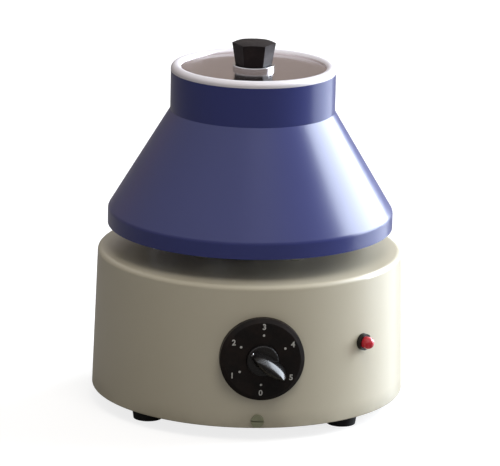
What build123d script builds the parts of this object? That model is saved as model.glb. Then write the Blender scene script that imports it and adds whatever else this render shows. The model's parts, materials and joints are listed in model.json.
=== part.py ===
from build123d import *
import os
from math import atan2, cos, radians, sin, sqrt, tan

# Bench centrifuge for eight 15 ml tubes: a round motor base on four rubber feet, and a
# wind-shielded angle head on the motor's own shaft. Millimetres, +Z up. The origin is on the
# bench, under the shaft. The speed dial faces -Y and the cord gland faces +Y.
# Azimuths are measured from the dial, and they grow towards +X.

os.makedirs("parts", exist_ok=True)

# ---------------------------------------------------------------- driving dimensions

# Base housing: a tapered round shell, open at the bottom
foot_height = 10.0
housing_height = 105.0
housing_bottom_r = 115.5
housing_top_r = 112.4
housing_wall = 2.5
housing_edge_r = 3.5
housing_lip_r = 0.8
deck_hole_r = 14.0

# Bottom pan, its screws and the feet
pan_wall = 1.5
pan_flange_height = 14.0
pan_fit_gap = 0.1
pan_bore_r = 9.0
vent_count = 12
vent_circle_r = 74.0
vent_length = 22.0
vent_width = 5.0
side_screw_count = 3
side_screw_azimuth = -1.2
side_screw_rise = 5.5
side_screw_head_r = 4.75
side_screw_head_height = 1.6
side_screw_r = 2.0
side_screw_reach = 4.0
side_screw_slot = 1.0
side_screw_slot_depth = 1.0
seat_gap = 0.1
foot_circle_r = 95.0
foot_turn_angle = -6.3
foot_half_step_angle = 48.3
foot_top_r = 12.0
foot_tip_r = 10.5
foot_recess_r = 5.0
foot_recess_depth = 4.5
foot_screw_r = 2.0
foot_screw_head_r = 4.0
foot_screw_head_height = 2.2
nut_height = 3.2
nut_corner_r = 4.6
screw_end = 1.0

# Motor: a two-pole universal motor in two end brackets, standing on rubber bobbins
motor_r = 45.0
motor_wall = 4.0
motor_lift = 12.0
bracket_floor = 4.0
lower_bracket_height = 26.0
motor_head_room = 7.0
upper_bracket_height = 28.0
lug_reach = 58.0
lug_width = 16.0
lug_circle_r = 51.5
bobbin_r = 7.0
bobbin_screw_r = 2.5
bobbin_screw_head_r = 4.5
bobbin_screw_head_height = 2.5
through_bolt_r = 1.6
through_bolt_circle_r = 41.0
through_bolt_head_height = 3.0
column_r = 3.8
bracket_edge_r = 2.5
window_count = 8
window_width = 16.0
window_height = 10.0
yoke_thickness = 7.0
pole_width = 16.0
pole_shoe_thickness = 3.8
pole_shoe_angle = 100.0
air_gap = 0.4
coil_band = 5.0
coil_gap = 0.3
coil_corner_r = 5.0
coil_depth = 6.6
through_bolt_head_r = 3.0
through_nut_corner_r = 3.4
shaft_chamfer = 0.6
fan_gap = 1.5
fan_inset = 0.3
shaft_r = 4.0
armature_r = 24.0
slot_count = 12
slot_mouth = 2.4
slot_root_r = 2.8
slot_root_circle_r = 18.4
winding_r = 21.0
winding_height = 7.5
winding_edge_r = 3.0
commutator_r = 10.5
commutator_height = 9.0
commutator_gap = 1.5
commutator_bars = 12
commutator_slit = 0.6
commutator_slit_depth = 1.2
fan_r = 31.0
fan_hub_r = 8.0
fan_disc = 1.5
fan_blade_height = 4.5
fan_blade_thickness = 1.2
fan_blade_count = 9
bearing_r = 11.0
bearing_width = 7.0
bearing_ring = 1.6
bearing_shield = 0.6
bearing_shield_gap = 0.2
bearing_boss_wall = 4.0
bearing_bore_gap = 2.0

# Brush gear
brush_size = 6.0
brush_length = 16.0
brush_guide_gap = 0.1
brush_holder_wall = 0.9
brush_holder_gap = 2.0
brush_holder_reach = 51.0
brush_block_size = 12.0
brush_block_length = 9.0
brush_cap_size = 11.0
brush_cap_height = 3.5
brush_lift = 0.3
brush_spring_r = 2.6
brush_spring_bore_r = 1.8
brush_block_inset = 2.0
brush_cap_corner_r = 1.5

# Dust boot round the shaft on the deck
boot_flange_r = 36.0
boot_flange_height = 2.5
boot_top_r = 9.0
boot_height = 9.0
boot_shaft_gap = 0.6
boot_wall = 2.2

# Speed dial and regulator
dial_height = 62.2
dial_r = 30.6
dial_stand = 5.0
dial_bevel = 2.0
dial_bevel_depth = 3.0
dial_bore_r = 5.1
bushing_r = 5.0
bushing_flange_r = 8.0
bushing_flange_height = 2.5
bushing_nut_corner_r = 7.4
bushing_nut_height = 2.4
spindle_r = 3.0
spindle_gap = 0.05
spindle_grip = 12.0
regulator_r = 24.0
regulator_depth = 18.5
winding_ring_r = 21.7
winding_ring_bore_r = 14.3
winding_ring_depth = 12.0
winding_stand = 0.5
winding_gap_width = 12.0
regulator_edge_r = 1.5
wiper_gap = 0.3
wiper_thickness = 1.5
wiper_width = 5.0
wiper_hub_r = 6.0
wiper_reach = 18.5
pointer_rest_angle = 125.0
pointer_gap = 0.4
pointer_skirt_r = 12.5
pointer_skirt_height = 5.0
pointer_skirt_draft = 1.2
pointer_height = 17.0
pointer_tip = 20.7
pointer_tail = 11.0
pointer_tail_width = 11.5
pointer_tip_width = 4.5
pointer_ridge_tip = 13.0
pointer_ridge_tail = 8.0
pointer_ridge_width = 3.2
pointer_ridge_tip_width = 1.6
pointer_recess_gap = 0.8
grub_screw_r = 1.5
grub_screw_rise = 4.2
grub_screw_length = 7.0

# Pilot lamp
lamp_azimuth = 41.9
lamp_height = 66.0
lamp_lens_r = 4.5
lamp_lens_stand = 10.0
lamp_lens_lift = 0.3
lamp_bezel_r = 6.0
lamp_bezel_stand = 3.2
lamp_body_r = 3.7
lamp_body_depth = 28.0
lamp_nut_corner_r = 7.5
lamp_fit_gap = 0.05
lamp_bezel_draft_angle = 4.0

# Cord gland at the back
gland_height = 40.0
cord_r = 3.5
cord_gap = 0.1
gland_shank_r = 7.5
gland_hex_corner_r = 12.0
gland_hex_height = 5.0
gland_barrel_r = 8.6
gland_barrel_height = 7.0
gland_seal_r = 5.6
gland_entry_r = 4.4
gland_shoulder_rise = 1.6
gland_cap_r = 11.0
gland_cap_end_r = 8.0
gland_cap_height = 15.0
gland_lock_height = 4.0
gland_cap_gap = 0.5

# Terminal block on the pan
terminal_length = 34.0
terminal_depth = 14.0
terminal_height = 12.0
terminal_ways = 3
terminal_screw_r = 1.8
terminal_screw_depth = 5.0
terminal_setback = 28.9

# Wind shield of the angle head
shield_gap = 18.0
shield_r = 105.4
shield_band_height = 11.6
shield_cone_height = 74.7
shield_wall = 1.5
shield_crease_r = 4.0
collar_r = 60.7
collar_height = 29.1

# Tube sleeves: they lean out parallel to the cone
tube_count = 8
tube_turn_angle = 16.5
tube_r = 8.5
tube_gap = 0.1
tube_tilt_angle = 31.7
mouth_circle_r = 43.0
mouth_depth = 38.4
sleeve_length = 96.0
sleeve_wall = 1.0
sleeve_flange_r = 12.0
sleeve_flange_height = 1.5
sleeve_neck_wall = 1.9
sleeve_neck_length = 6.0
sleeve_lead_in = 0.7
cushion_gap = 0.1
cushion_drop = 1.2
cushion_dish = 1.0

# Carrier dish, hub and nut
carrier_wall = 2.5
carrier_flat_r = 24.0
carrier_rim_height = 7.0
carrier_hole_gap = 0.1
carrier_rim_wall = 2.0
hub_foot_r = 18.0
hub_foot_height = 6.0
hub_stem_r = 14.0
hub_flange_r = 23.0
hub_flange_height = 5.0
hub_column_r = 10.0
hub_neck_r = 7.6
hub_neck_height = 7.0
hub_rise = 13.0
hub_nut_corner_r = 16.0
hub_nut_height = 8.0
shaft_grip = 58.0

# Lid, its ring and the clamp knob
lid_rim_crest = 4.8
lid_rim_crest_r = 57.2
lid_rim_inner_r = 53.2
lid_rim_inner_rise = 2.2
lid_dish_r = 48.5
lid_floor_rise = 1.9
lid_wall = 2.0
lid_spigot_gap = 0.3
lid_spigot_depth = 4.5
lid_spigot_wall = 1.6
lid_seat_gap = 0.1
lid_pan_rise = 1.4
ring_r = 15.4
ring_height = 3.0
ring_edge_r = 0.8
stud_r = 4.0
stud_gap = 0.08
stud_flange_r = 7.8
stud_flange_height = 1.4
stud_flange_gap = 0.2
stud_reach = 14.0
stud_grip = 11.0
stud_end_gap = 1.0
knob_top_corner_r = 16.5
knob_bottom_corner_r = 13.5
knob_height = 17.3
knob_crown = 1.6
knob_gap = 0.2
knob_edge_r = 0.9
knob_azimuth = -5.1

# ---------------------------------------------------------------- derived places

FULL_TURN_ANGLE = 360.0
HEX_SIDE_COUNT = 6
EPS = 0.01

housing_z = foot_height
deck_z = housing_z + housing_height
deck_under_z = deck_z - housing_wall
pan_top_z = housing_z + pan_wall

stack_height = (housing_height - motor_lift - lower_bracket_height - upper_bracket_height
                - motor_head_room)
lower_bracket_z = housing_z + motor_lift
stack_z = lower_bracket_z + lower_bracket_height
stack_top_z = stack_z + stack_height
motor_top_z = stack_top_z + upper_bracket_height
lower_bearing_z = lower_bracket_z + bracket_floor
upper_bearing_z = motor_top_z - bearing_bore_gap - bearing_width
stator_bore_r = armature_r + air_gap
bracket_inner_r = motor_r - motor_wall
brush_z = stack_top_z + winding_height + commutator_gap + commutator_height / 2

shield_z = deck_z + shield_gap
shield_crease_z = shield_z + shield_band_height
collar_z = shield_crease_z + shield_cone_height
collar_top_z = collar_z + collar_height
collar_inner_r = collar_r - shield_wall

shield_bend = atan2(shield_r - collar_r, shield_cone_height)
shield_corner_drop = shield_wall * tan(shield_bend / 2)
mouth_z = collar_top_z - mouth_depth
sleeve_bore_r = tube_r + tube_gap
sleeve_r = sleeve_bore_r + sleeve_wall
sleeve_neck_r = sleeve_bore_r + sleeve_neck_wall
tilt = radians(tube_tilt_angle)
carrier_flat_z = mouth_z - (mouth_circle_r - carrier_flat_r) * tan(tilt)
hub_seat_z = carrier_flat_z - carrier_wall

lid_floor_z = collar_top_z + lid_floor_rise
lid_under_z = lid_floor_z - lid_wall
ring_top_z = lid_floor_z + ring_height
knob_z = ring_top_z + knob_gap
hub_z = deck_z + hub_rise
hub_top_z = lid_under_z - lid_seat_gap
stud_low_z = lid_under_z - stud_reach


def wall_r(height):
    """Outer radius of the tapered housing at a height."""
    share = (height - housing_z) / housing_height
    return housing_bottom_r + (housing_top_r - housing_bottom_r) * share


def wall_sag(height, half_width, wall=0.0):
    """How far the curved, tapered wall falls back behind a flat face of this half width."""
    high = min(wall_r(height + half_width), wall_r(height - half_width)) - wall
    return wall_r(height) - wall - sqrt(high**2 - half_width**2)


def out_plane(azimuth, height, reach):
    """A plane facing out from the shaft at an azimuth, `reach` from the axis. Its local Y is up."""
    turn = radians(azimuth)
    out = Vector(sin(turn), -cos(turn), 0)
    origin = out * reach + Vector(0, 0, height)
    return Plane(origin=origin, x_dir=(cos(turn), sin(turn), 0), z_dir=out)


def polar(azimuth, radius, height=0.0):
    """A point at an azimuth from the dial and a radius from the axis."""
    turn = radians(azimuth)
    return (sin(turn) * radius, -cos(turn) * radius, height)


def sleeve_section(azimuth):
    """The plane through the shaft and one sleeve. Local X is the radius from the sleeve's own
    axis, and local Y runs up that axis, out of the mouth. Its origin is on the sleeve's seat."""
    out = Vector(*polar(azimuth, 1.0))
    up = Vector(0, 0, 1)
    across = out * cos(tilt) + up * sin(tilt)
    along = up * cos(tilt) - out * sin(tilt)
    origin = out * mouth_circle_r + up * mouth_z
    return Plane(origin=origin, x_dir=across, z_dir=across.cross(along))


def sleeve_mouth(azimuth):
    """The plane across one sleeve at its seat, with its local Z out of the mouth."""
    section = sleeve_section(azimuth)
    return Plane(origin=section.origin, x_dir=section.x_dir, z_dir=section.y_dir)


tube_azimuths = [tube_turn_angle + step * FULL_TURN_ANGLE / tube_count for step in range(tube_count)]
side_screw_azimuths = [
    side_screw_azimuth + step * FULL_TURN_ANGLE / side_screw_count for step in range(side_screw_count)
]
foot_azimuths = [
    foot_turn_angle + side + half for side in (0.0, FULL_TURN_ANGLE / 2)
    for half in (-foot_half_step_angle, foot_half_step_angle)
]
foot_points = [polar(azimuth, foot_circle_r) for azimuth in foot_azimuths]
lug_azimuths = [step * FULL_TURN_ANGLE / 4 + FULL_TURN_ANGLE / 8 for step in range(4)]
lug_points = [polar(azimuth, lug_circle_r) for azimuth in lug_azimuths]
bolt_points = [polar(azimuth, through_bolt_circle_r) for azimuth in lug_azimuths]
brush_azimuths = [0.0, FULL_TURN_ANGLE / 2]
coil_azimuths = [FULL_TURN_ANGLE / 4, -FULL_TURN_ANGLE / 4]
written = []


def keep(builder, name):
    """Label a finished piece and write its file."""
    builder.part.label = name
    export_step(builder.part, f"parts/{name}.step")
    written.append(name)


# ---------------------------------------------------------------- base housing

with BuildPart() as housing_form:  # the outer form alone, used to seat what lies on the wall
    with BuildSketch(Plane.XZ):
        with BuildLine():
            Polyline(
                (0, housing_z), (housing_bottom_r, housing_z), (housing_top_r, deck_z), (0, deck_z),
                close=True,
            )
        make_face()
    revolve(axis=Axis.Z)
    fillet(housing_form.edges().group_by(Axis.Z)[-1], housing_edge_r)

with BuildPart() as base_housing:
    with BuildSketch(Plane.XZ):
        with BuildLine():
            Polyline(
                (0, housing_z), (housing_bottom_r, housing_z), (housing_top_r, deck_z), (0, deck_z),
                close=True,
            )
        make_face()
    revolve(axis=Axis.Z)
    fillet(base_housing.edges().group_by(Axis.Z)[-1], housing_edge_r)
    fillet(base_housing.edges().group_by(Axis.Z)[0], housing_lip_r)
    with BuildSketch(Plane.XZ):
        with BuildLine():
            Polyline(
                (0, housing_z),
                (wall_r(housing_z) - housing_wall, housing_z),
                (wall_r(deck_under_z) - housing_wall, deck_under_z),
                (0, deck_under_z),
                close=True,
            )
        make_face()
    revolve(axis=Axis.Z, mode=Mode.SUBTRACT)
    with BuildSketch(Plane.XY.offset(deck_z)):
        Circle(deck_hole_r)
    extrude(amount=-2 * housing_wall, mode=Mode.SUBTRACT)
    wall_holes = [
        (0.0, dial_height, bushing_r),
        (lamp_azimuth, lamp_height, lamp_body_r + lamp_fit_gap),
        (FULL_TURN_ANGLE / 2, gland_height, gland_shank_r),
    ]
    wall_holes += [
        (azimuth, housing_z + side_screw_rise, side_screw_r) for azimuth in side_screw_azimuths
    ]
    for azimuth, height, radius in wall_holes:
        with BuildSketch(out_plane(azimuth, height, wall_r(height) - 2 * housing_wall)):
            Circle(radius)
        extrude(amount=4 * housing_wall, mode=Mode.SUBTRACT)
keep(base_housing, "base_housing")

# ---------------------------------------------------------------- bottom pan, screws, feet

pan_r = housing_bottom_r - housing_wall - pan_fit_gap
pan_flange_top = housing_z + pan_flange_height
pan_flange_r = wall_r(pan_flange_top) - housing_wall - pan_fit_gap
with BuildPart() as bottom_pan:
    with BuildSketch(Plane.XZ):
        with BuildLine():
            Polyline(
                (0, housing_z),
                (pan_r, housing_z),
                (pan_flange_r, pan_flange_top),
                (pan_flange_r - pan_wall, pan_flange_top),
                (pan_r - pan_wall, pan_top_z),
                (0, pan_top_z),
                close=True,
            )
        make_face()
    revolve(axis=Axis.Z)
    with BuildSketch(Plane.XY.offset(housing_z)):
        Circle(pan_bore_r)
        with Locations(*foot_points):
            Circle(foot_screw_r)
        with Locations(*lug_points):
            Circle(bobbin_screw_r)
        with PolarLocations(vent_circle_r, vent_count):
            SlotOverall(vent_length, vent_width)
    extrude(amount=pan_wall, mode=Mode.SUBTRACT)
    for azimuth in side_screw_azimuths:
        with BuildSketch(out_plane(azimuth, housing_z + side_screw_rise, pan_r - 2 * pan_wall)):
            Circle(side_screw_r)
        extrude(amount=3 * pan_wall, mode=Mode.SUBTRACT)
keep(bottom_pan, "bottom_pan")

with BuildPart() as housing_screws:
    for azimuth in side_screw_azimuths:
        height = housing_z + side_screw_rise
        seat = out_plane(azimuth, height, wall_r(height))
        with BuildSketch(seat):
            Circle(side_screw_head_r)
        extrude(amount=side_screw_head_height)
        with BuildSketch(seat):
            Circle(side_screw_head_r)
        extrude(amount=-(wall_sag(height, side_screw_head_r) + seat_gap))
        with BuildSketch(out_plane(azimuth, height, wall_r(height) + side_screw_head_height)):
            Rectangle(2 * side_screw_head_r, side_screw_slot, rotation=azimuth)
        extrude(amount=-side_screw_slot_depth, mode=Mode.SUBTRACT)
    add(housing_form.part, mode=Mode.SUBTRACT)
    for azimuth in side_screw_azimuths:
        height = housing_z + side_screw_rise
        with BuildSketch(out_plane(azimuth, height, wall_r(height))):
            Circle(side_screw_r)
        extrude(amount=-(housing_wall + pan_wall + side_screw_reach))
keep(housing_screws, "housing_screws")

with BuildPart() as rubber_feet:
    with Locations(*foot_points):
        Cone(foot_tip_r, foot_top_r, foot_height, align=(Align.CENTER, Align.CENTER, Align.MIN))
    with BuildSketch():
        with Locations(*foot_points):
            Circle(foot_recess_r)
    extrude(amount=foot_recess_depth, mode=Mode.SUBTRACT)
    with BuildSketch():
        with Locations(*foot_points):
            Circle(foot_screw_r)
    extrude(amount=foot_height, mode=Mode.SUBTRACT)
keep(rubber_feet, "rubber_feet")

with BuildPart() as foot_screws:
    with BuildSketch(Plane.XY.offset(foot_recess_depth)):
        with Locations(*foot_points):
            Circle(foot_screw_head_r)
    extrude(amount=-foot_screw_head_height)
    with BuildSketch(Plane.XY.offset(foot_recess_depth)):
        with Locations(*foot_points):
            Circle(foot_screw_r)
    extrude(amount=pan_top_z + nut_height + screw_end - foot_recess_depth)
keep(foot_screws, "foot_screws")

with BuildPart() as foot_nuts:
    with BuildSketch(Plane.XY.offset(pan_top_z)):
        with Locations(*foot_points):
            RegularPolygon(nut_corner_r, HEX_SIDE_COUNT)
            Circle(foot_screw_r, mode=Mode.SUBTRACT)
    extrude(amount=nut_height)
keep(foot_nuts, "foot_nuts")

# ---------------------------------------------------------------- motor stand

lug_top_z = lower_bracket_z + bracket_floor

with BuildPart() as motor_mounts:
    with BuildSketch(Plane.XY.offset(pan_top_z)):
        with Locations(*lug_points):
            Circle(bobbin_r)
            Circle(bobbin_screw_r, mode=Mode.SUBTRACT)
    extrude(amount=lower_bracket_z - pan_top_z)
keep(motor_mounts, "motor_mounts")

with BuildPart() as motor_mount_screws:
    with BuildSketch(Plane.XY.offset(housing_z)):
        with Locations(*lug_points):
            Circle(bobbin_screw_head_r)
    extrude(amount=-bobbin_screw_head_height)
    with BuildSketch(Plane.XY.offset(housing_z)):
        with Locations(*lug_points):
            Circle(bobbin_screw_r)
    extrude(amount=lug_top_z + nut_height + screw_end - housing_z)
keep(motor_mount_screws, "motor_mount_screws")

with BuildPart() as motor_mount_nuts:
    with BuildSketch(Plane.XY.offset(lug_top_z)):
        with Locations(*lug_points):
            RegularPolygon(nut_corner_r, HEX_SIDE_COUNT)
            Circle(bobbin_screw_r, mode=Mode.SUBTRACT)
    extrude(amount=nut_height)
keep(motor_mount_nuts, "motor_mount_nuts")

# ---------------------------------------------------------------- motor brackets and stator

boss_r = bearing_r + bearing_boss_wall

with BuildPart() as motor_lower_bracket:
    with BuildSketch(Plane.XY.offset(lower_bracket_z)):
        Circle(motor_r)
        for azimuth in lug_azimuths[:2]:
            SlotOverall(2 * lug_reach, lug_width, rotation=azimuth + FULL_TURN_ANGLE / 4)
    extrude(amount=bracket_floor)
    with BuildSketch(Plane.XY.offset(lower_bracket_z)):
        Circle(motor_r)
        Circle(bracket_inner_r, mode=Mode.SUBTRACT)
        with Locations(*bolt_points):
            Circle(column_r)
    extrude(amount=lower_bracket_height)
    with BuildSketch(Plane.XY.offset(lower_bracket_z)):
        Circle(boss_r)
    extrude(amount=bracket_floor + bearing_width)
    with BuildSketch(Plane.XY.offset(lower_bearing_z)):
        Circle(bearing_r)
    extrude(amount=bearing_width, mode=Mode.SUBTRACT)
    with BuildSketch(Plane.XY.offset(lower_bracket_z)):
        with Locations(*bolt_points):
            Circle(through_bolt_r)
        with Locations(*lug_points):
            Circle(bobbin_screw_r)
    extrude(amount=lower_bracket_height, mode=Mode.SUBTRACT)
    window_z = stack_z - window_height
    for step in range(window_count):
        azimuth = (step + 1 / 2) * FULL_TURN_ANGLE / window_count
        with BuildSketch(out_plane(azimuth, window_z, bracket_inner_r - EPS)):
            Rectangle(window_width / 2, window_height)
        extrude(amount=2 * motor_wall, mode=Mode.SUBTRACT)
keep(motor_lower_bracket, "motor_lower_bracket")

with BuildPart() as motor_upper_bracket:
    with BuildSketch(Plane.XY.offset(stack_top_z)):
        Circle(motor_r)
        Circle(bracket_inner_r, mode=Mode.SUBTRACT)
        with Locations(*bolt_points):
            Circle(column_r)
    extrude(amount=upper_bracket_height)
    with BuildSketch(Plane.XY.offset(motor_top_z - bracket_floor)):
        Circle(motor_r)
    extrude(amount=bracket_floor)
    fillet(
        motor_upper_bracket.edges().filter_by(GeomType.CIRCLE).group_by(Axis.Z)[-1]
        .sort_by(SortBy.RADIUS)[-1:], bracket_edge_r,
    )
    with BuildSketch(Plane.XY.offset(upper_bearing_z)):
        Circle(boss_r)
    extrude(amount=motor_top_z - upper_bearing_z)
    with BuildSketch(Plane.XY.offset(upper_bearing_z)):
        Circle(bearing_r)
    extrude(amount=bearing_width, mode=Mode.SUBTRACT)
    with BuildSketch(Plane.XY.offset(upper_bearing_z)):
        Circle(bearing_r - 2 * bearing_ring)
    extrude(amount=motor_top_z - upper_bearing_z, mode=Mode.SUBTRACT)
    with BuildSketch(Plane.XY.offset(stack_top_z)):
        with Locations(*bolt_points):
            Circle(through_bolt_r)
    extrude(amount=upper_bracket_height, mode=Mode.SUBTRACT)
    with BuildSketch(Plane.XY.offset(motor_top_z)):
        with PolarLocations((boss_r + bracket_inner_r) / 2, window_count):
            SlotOverall(window_width, window_height / 2, rotation=FULL_TURN_ANGLE / 4)
    extrude(amount=-bracket_floor, mode=Mode.SUBTRACT)
    for azimuth in brush_azimuths:
        with BuildSketch(out_plane(azimuth, brush_z, bracket_inner_r - brush_block_length)):
            Rectangle(brush_block_size, brush_block_size)
        extrude(amount=2 * brush_block_length, mode=Mode.SUBTRACT)
keep(motor_upper_bracket, "motor_upper_bracket")

pole_reach = motor_r - yoke_thickness
shoe_r = stator_bore_r + pole_shoe_thickness
with BuildPart() as stator_core:
    with BuildSketch(Plane.XY.offset(stack_z)):
        Circle(shoe_r)
        with Locations((0, shoe_r), (0, -shoe_r)):
            Rectangle(2 * motor_r, 2 * shoe_r * (1 - sin(radians(pole_shoe_angle / 2))),
                      mode=Mode.SUBTRACT)
        Rectangle(2 * (pole_reach + EPS), pole_width)
        Circle(stator_bore_r, mode=Mode.SUBTRACT)
    extrude(amount=stack_height)
    with BuildSketch(Plane.XY.offset(stack_z)):
        Circle(motor_r)
        Circle(pole_reach, mode=Mode.SUBTRACT)
        with Locations(*bolt_points):
            Circle(through_bolt_r, mode=Mode.SUBTRACT)
    extrude(amount=stack_height)
keep(stator_core, "stator_core")

with BuildPart() as field_coils:
    for azimuth in coil_azimuths:
        with BuildSketch(out_plane(azimuth, stack_z + stack_height / 2, shoe_r + coil_gap)):
            RectangleRounded(
                pole_width + 2 * (coil_gap + coil_band),
                stack_height + 2 * (coil_gap + coil_band),
                coil_corner_r,
            )
            Rectangle(
                pole_width + 2 * coil_gap, stack_height + 2 * coil_gap, mode=Mode.SUBTRACT
            )
        extrude(amount=coil_depth)
keep(field_coils, "field_coils")

bolt_low_z = lower_bracket_z
bolt_top_z = motor_top_z + nut_height + screw_end
with BuildPart() as motor_through_bolts:
    with BuildSketch(Plane.XY.offset(bolt_low_z)):
        with Locations(*bolt_points):
            Circle(through_bolt_head_r)
    extrude(amount=-through_bolt_head_height)
    with BuildSketch(Plane.XY.offset(bolt_low_z)):
        with Locations(*bolt_points):
            Circle(through_bolt_r)
    extrude(amount=bolt_top_z - bolt_low_z)
keep(motor_through_bolts, "motor_through_bolts")

with BuildPart() as motor_bolt_nuts:
    with BuildSketch(Plane.XY.offset(motor_top_z)):
        with Locations(*bolt_points):
            RegularPolygon(through_nut_corner_r, HEX_SIDE_COUNT)
            Circle(through_bolt_r, mode=Mode.SUBTRACT)
    extrude(amount=nut_height)
keep(motor_bolt_nuts, "motor_bolt_nuts")

# ---------------------------------------------------------------- ball bearings, shielded

inner_ring_r = shaft_r + bearing_ring
outer_ring_bore_r = bearing_r - bearing_ring
shield_bore_r = inner_ring_r + bearing_shield_gap
with BuildPart() as bearing_outer_races:
    for height in (lower_bearing_z, upper_bearing_z):
        with BuildSketch(Plane.XZ):
            with BuildLine():
                Polyline(
                    (bearing_r, height),
                    (bearing_r, height + bearing_width),
                    (shield_bore_r, height + bearing_width),
                    (shield_bore_r, height + bearing_width - bearing_shield),
                    (outer_ring_bore_r, height + bearing_width - bearing_shield),
                    (outer_ring_bore_r, height + bearing_shield),
                    (shield_bore_r, height + bearing_shield),
                    (shield_bore_r, height),
                    close=True,
                )
            make_face()
        revolve(axis=Axis.Z)
keep(bearing_outer_races, "bearing_outer_races")

with BuildPart() as bearing_inner_races:
    for height in (lower_bearing_z, upper_bearing_z):
        with BuildSketch(Plane.XY.offset(height)):
            Circle(inner_ring_r)
            Circle(shaft_r, mode=Mode.SUBTRACT)
        extrude(amount=bearing_width)
keep(bearing_inner_races, "bearing_inner_races")

# ---------------------------------------------------------------- rotating parts of the motor

shaft_low_z = lower_bearing_z
shaft_top_z = hub_z + shaft_grip
with BuildPart() as motor_shaft:
    with BuildSketch(Plane.XY.offset(shaft_low_z)):
        Circle(shaft_r)
    extrude(amount=shaft_top_z - shaft_low_z)
    chamfer(motor_shaft.faces().sort_by(Axis.Z)[-1].edges(), shaft_chamfer)
keep(motor_shaft, "motor_shaft")

with BuildPart() as armature_core:
    with BuildSketch(Plane.XY.offset(stack_z)):
        Circle(armature_r)
        Circle(shaft_r, mode=Mode.SUBTRACT)
        with PolarLocations(slot_root_circle_r, slot_count):
            Circle(slot_root_r, mode=Mode.SUBTRACT)
        with PolarLocations((armature_r + slot_root_circle_r) / 2, slot_count):
            Rectangle(armature_r - slot_root_circle_r + EPS, slot_mouth, mode=Mode.SUBTRACT)
    extrude(amount=stack_height)
keep(armature_core, "armature_core")

with BuildPart() as armature_windings:
    for height in (stack_z - winding_height, stack_top_z):
        with BuildSketch(Plane.XZ):
            with Locations(((winding_r + shaft_r) / 2, height + winding_height / 2)):
                RectangleRounded(winding_r - shaft_r, winding_height, winding_edge_r)
        revolve(axis=Axis.Z)
keep(armature_windings, "armature_windings")

commutator_z = brush_z - commutator_height / 2
with BuildPart() as commutator:
    with BuildSketch(Plane.XY.offset(commutator_z)):
        Circle(commutator_r)
        Circle(shaft_r, mode=Mode.SUBTRACT)
        with PolarLocations(commutator_r, commutator_bars):
            Rectangle(2 * commutator_slit_depth, commutator_slit, mode=Mode.SUBTRACT)
    extrude(amount=commutator_height)
keep(commutator, "commutator")

fan_z = lower_bearing_z + bearing_width + fan_gap
with BuildPart() as cooling_fan:
    with BuildSketch(Plane.XY.offset(fan_z)):
        Circle(fan_r)
    extrude(amount=fan_disc)
    with BuildSketch(Plane.XY.offset(fan_z)):
        Circle(fan_hub_r)
        with PolarLocations((fan_r + fan_hub_r) / 2 - fan_inset, fan_blade_count):
            Rectangle(fan_r - fan_hub_r, fan_blade_thickness)
    extrude(amount=fan_disc + fan_blade_height)
    with BuildSketch(Plane.XY.offset(fan_z)):
        Circle(shaft_r)
    extrude(amount=fan_disc + fan_blade_height, mode=Mode.SUBTRACT)
keep(cooling_fan, "cooling_fan")

# ---------------------------------------------------------------- brush gear

guide_size = brush_size + 2 * brush_guide_gap
holder_size = guide_size + 2 * brush_holder_wall
brush_tip = commutator_r + brush_lift
holder_tip = commutator_r + brush_holder_gap
spring_start = brush_tip + brush_length
with BuildPart() as brush_holders:
    for azimuth in brush_azimuths:
        with BuildSketch(out_plane(azimuth, brush_z, holder_tip)):
            Rectangle(holder_size, holder_size)
            Rectangle(guide_size, guide_size, mode=Mode.SUBTRACT)
        extrude(amount=brush_holder_reach - holder_tip)
keep(brush_holders, "brush_holders")

with BuildPart() as brush_insulators:
    for azimuth in brush_azimuths:
        with BuildSketch(out_plane(azimuth, brush_z, bracket_inner_r - brush_block_inset)):
            Rectangle(brush_block_size, brush_block_size)
            Rectangle(holder_size, holder_size, mode=Mode.SUBTRACT)
        extrude(amount=brush_block_length)
keep(brush_insulators, "brush_insulators")

with BuildPart() as carbon_brushes:
    for azimuth in brush_azimuths:
        with BuildSketch(out_plane(azimuth, brush_z, brush_tip)):
            Rectangle(brush_size, brush_size)
        extrude(amount=brush_length)
keep(carbon_brushes, "carbon_brushes")

with BuildPart() as brush_springs:
    for azimuth in brush_azimuths:
        with BuildSketch(out_plane(azimuth, brush_z, spring_start)):
            Circle(brush_spring_r)
            Circle(brush_spring_bore_r, mode=Mode.SUBTRACT)
        extrude(amount=brush_holder_reach - spring_start)
keep(brush_springs, "brush_springs")

with BuildPart() as brush_caps:
    for azimuth in brush_azimuths:
        with BuildSketch(out_plane(azimuth, brush_z, brush_holder_reach)):
            RectangleRounded(brush_cap_size, brush_cap_size, brush_cap_corner_r)
        extrude(amount=brush_cap_height)
keep(brush_caps, "brush_caps")

# ---------------------------------------------------------------- dust boot on the deck

boot_bore_r = shaft_r + boot_shaft_gap
with BuildPart() as shaft_boot:
    with BuildSketch(Plane.XZ):
        with BuildLine():
            Polyline(
                (boot_bore_r, deck_z + boot_height),
                (boot_top_r, deck_z + boot_height),
                (deck_hole_r + boot_wall, deck_z + boot_flange_height),
                (boot_flange_r, deck_z + boot_flange_height),
                (boot_flange_r, deck_z),
                (deck_hole_r, deck_z),
                (deck_hole_r, deck_under_z),
                (deck_hole_r - boot_wall, deck_under_z),
                (deck_hole_r - boot_wall, deck_z + boot_flange_height),
                (boot_bore_r, deck_z + boot_height - boot_wall),
                close=True,
            )
        make_face()
    revolve(axis=Axis.Z)
keep(shaft_boot, "shaft_boot")

# ---------------------------------------------------------------- speed dial and regulator

wall_out = wall_r(dial_height)
wall_in = wall_out - housing_wall
dial_face = wall_out + dial_stand
dial_seat_depth = wall_sag(dial_height, dial_r) + seat_gap
bushing_sag = wall_sag(dial_height, bushing_flange_r, housing_wall)
regulator_front = wall_in - bushing_flange_height - bushing_sag - seat_gap
regulator_back = regulator_front - regulator_depth
winding_back = regulator_back - winding_stand

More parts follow.
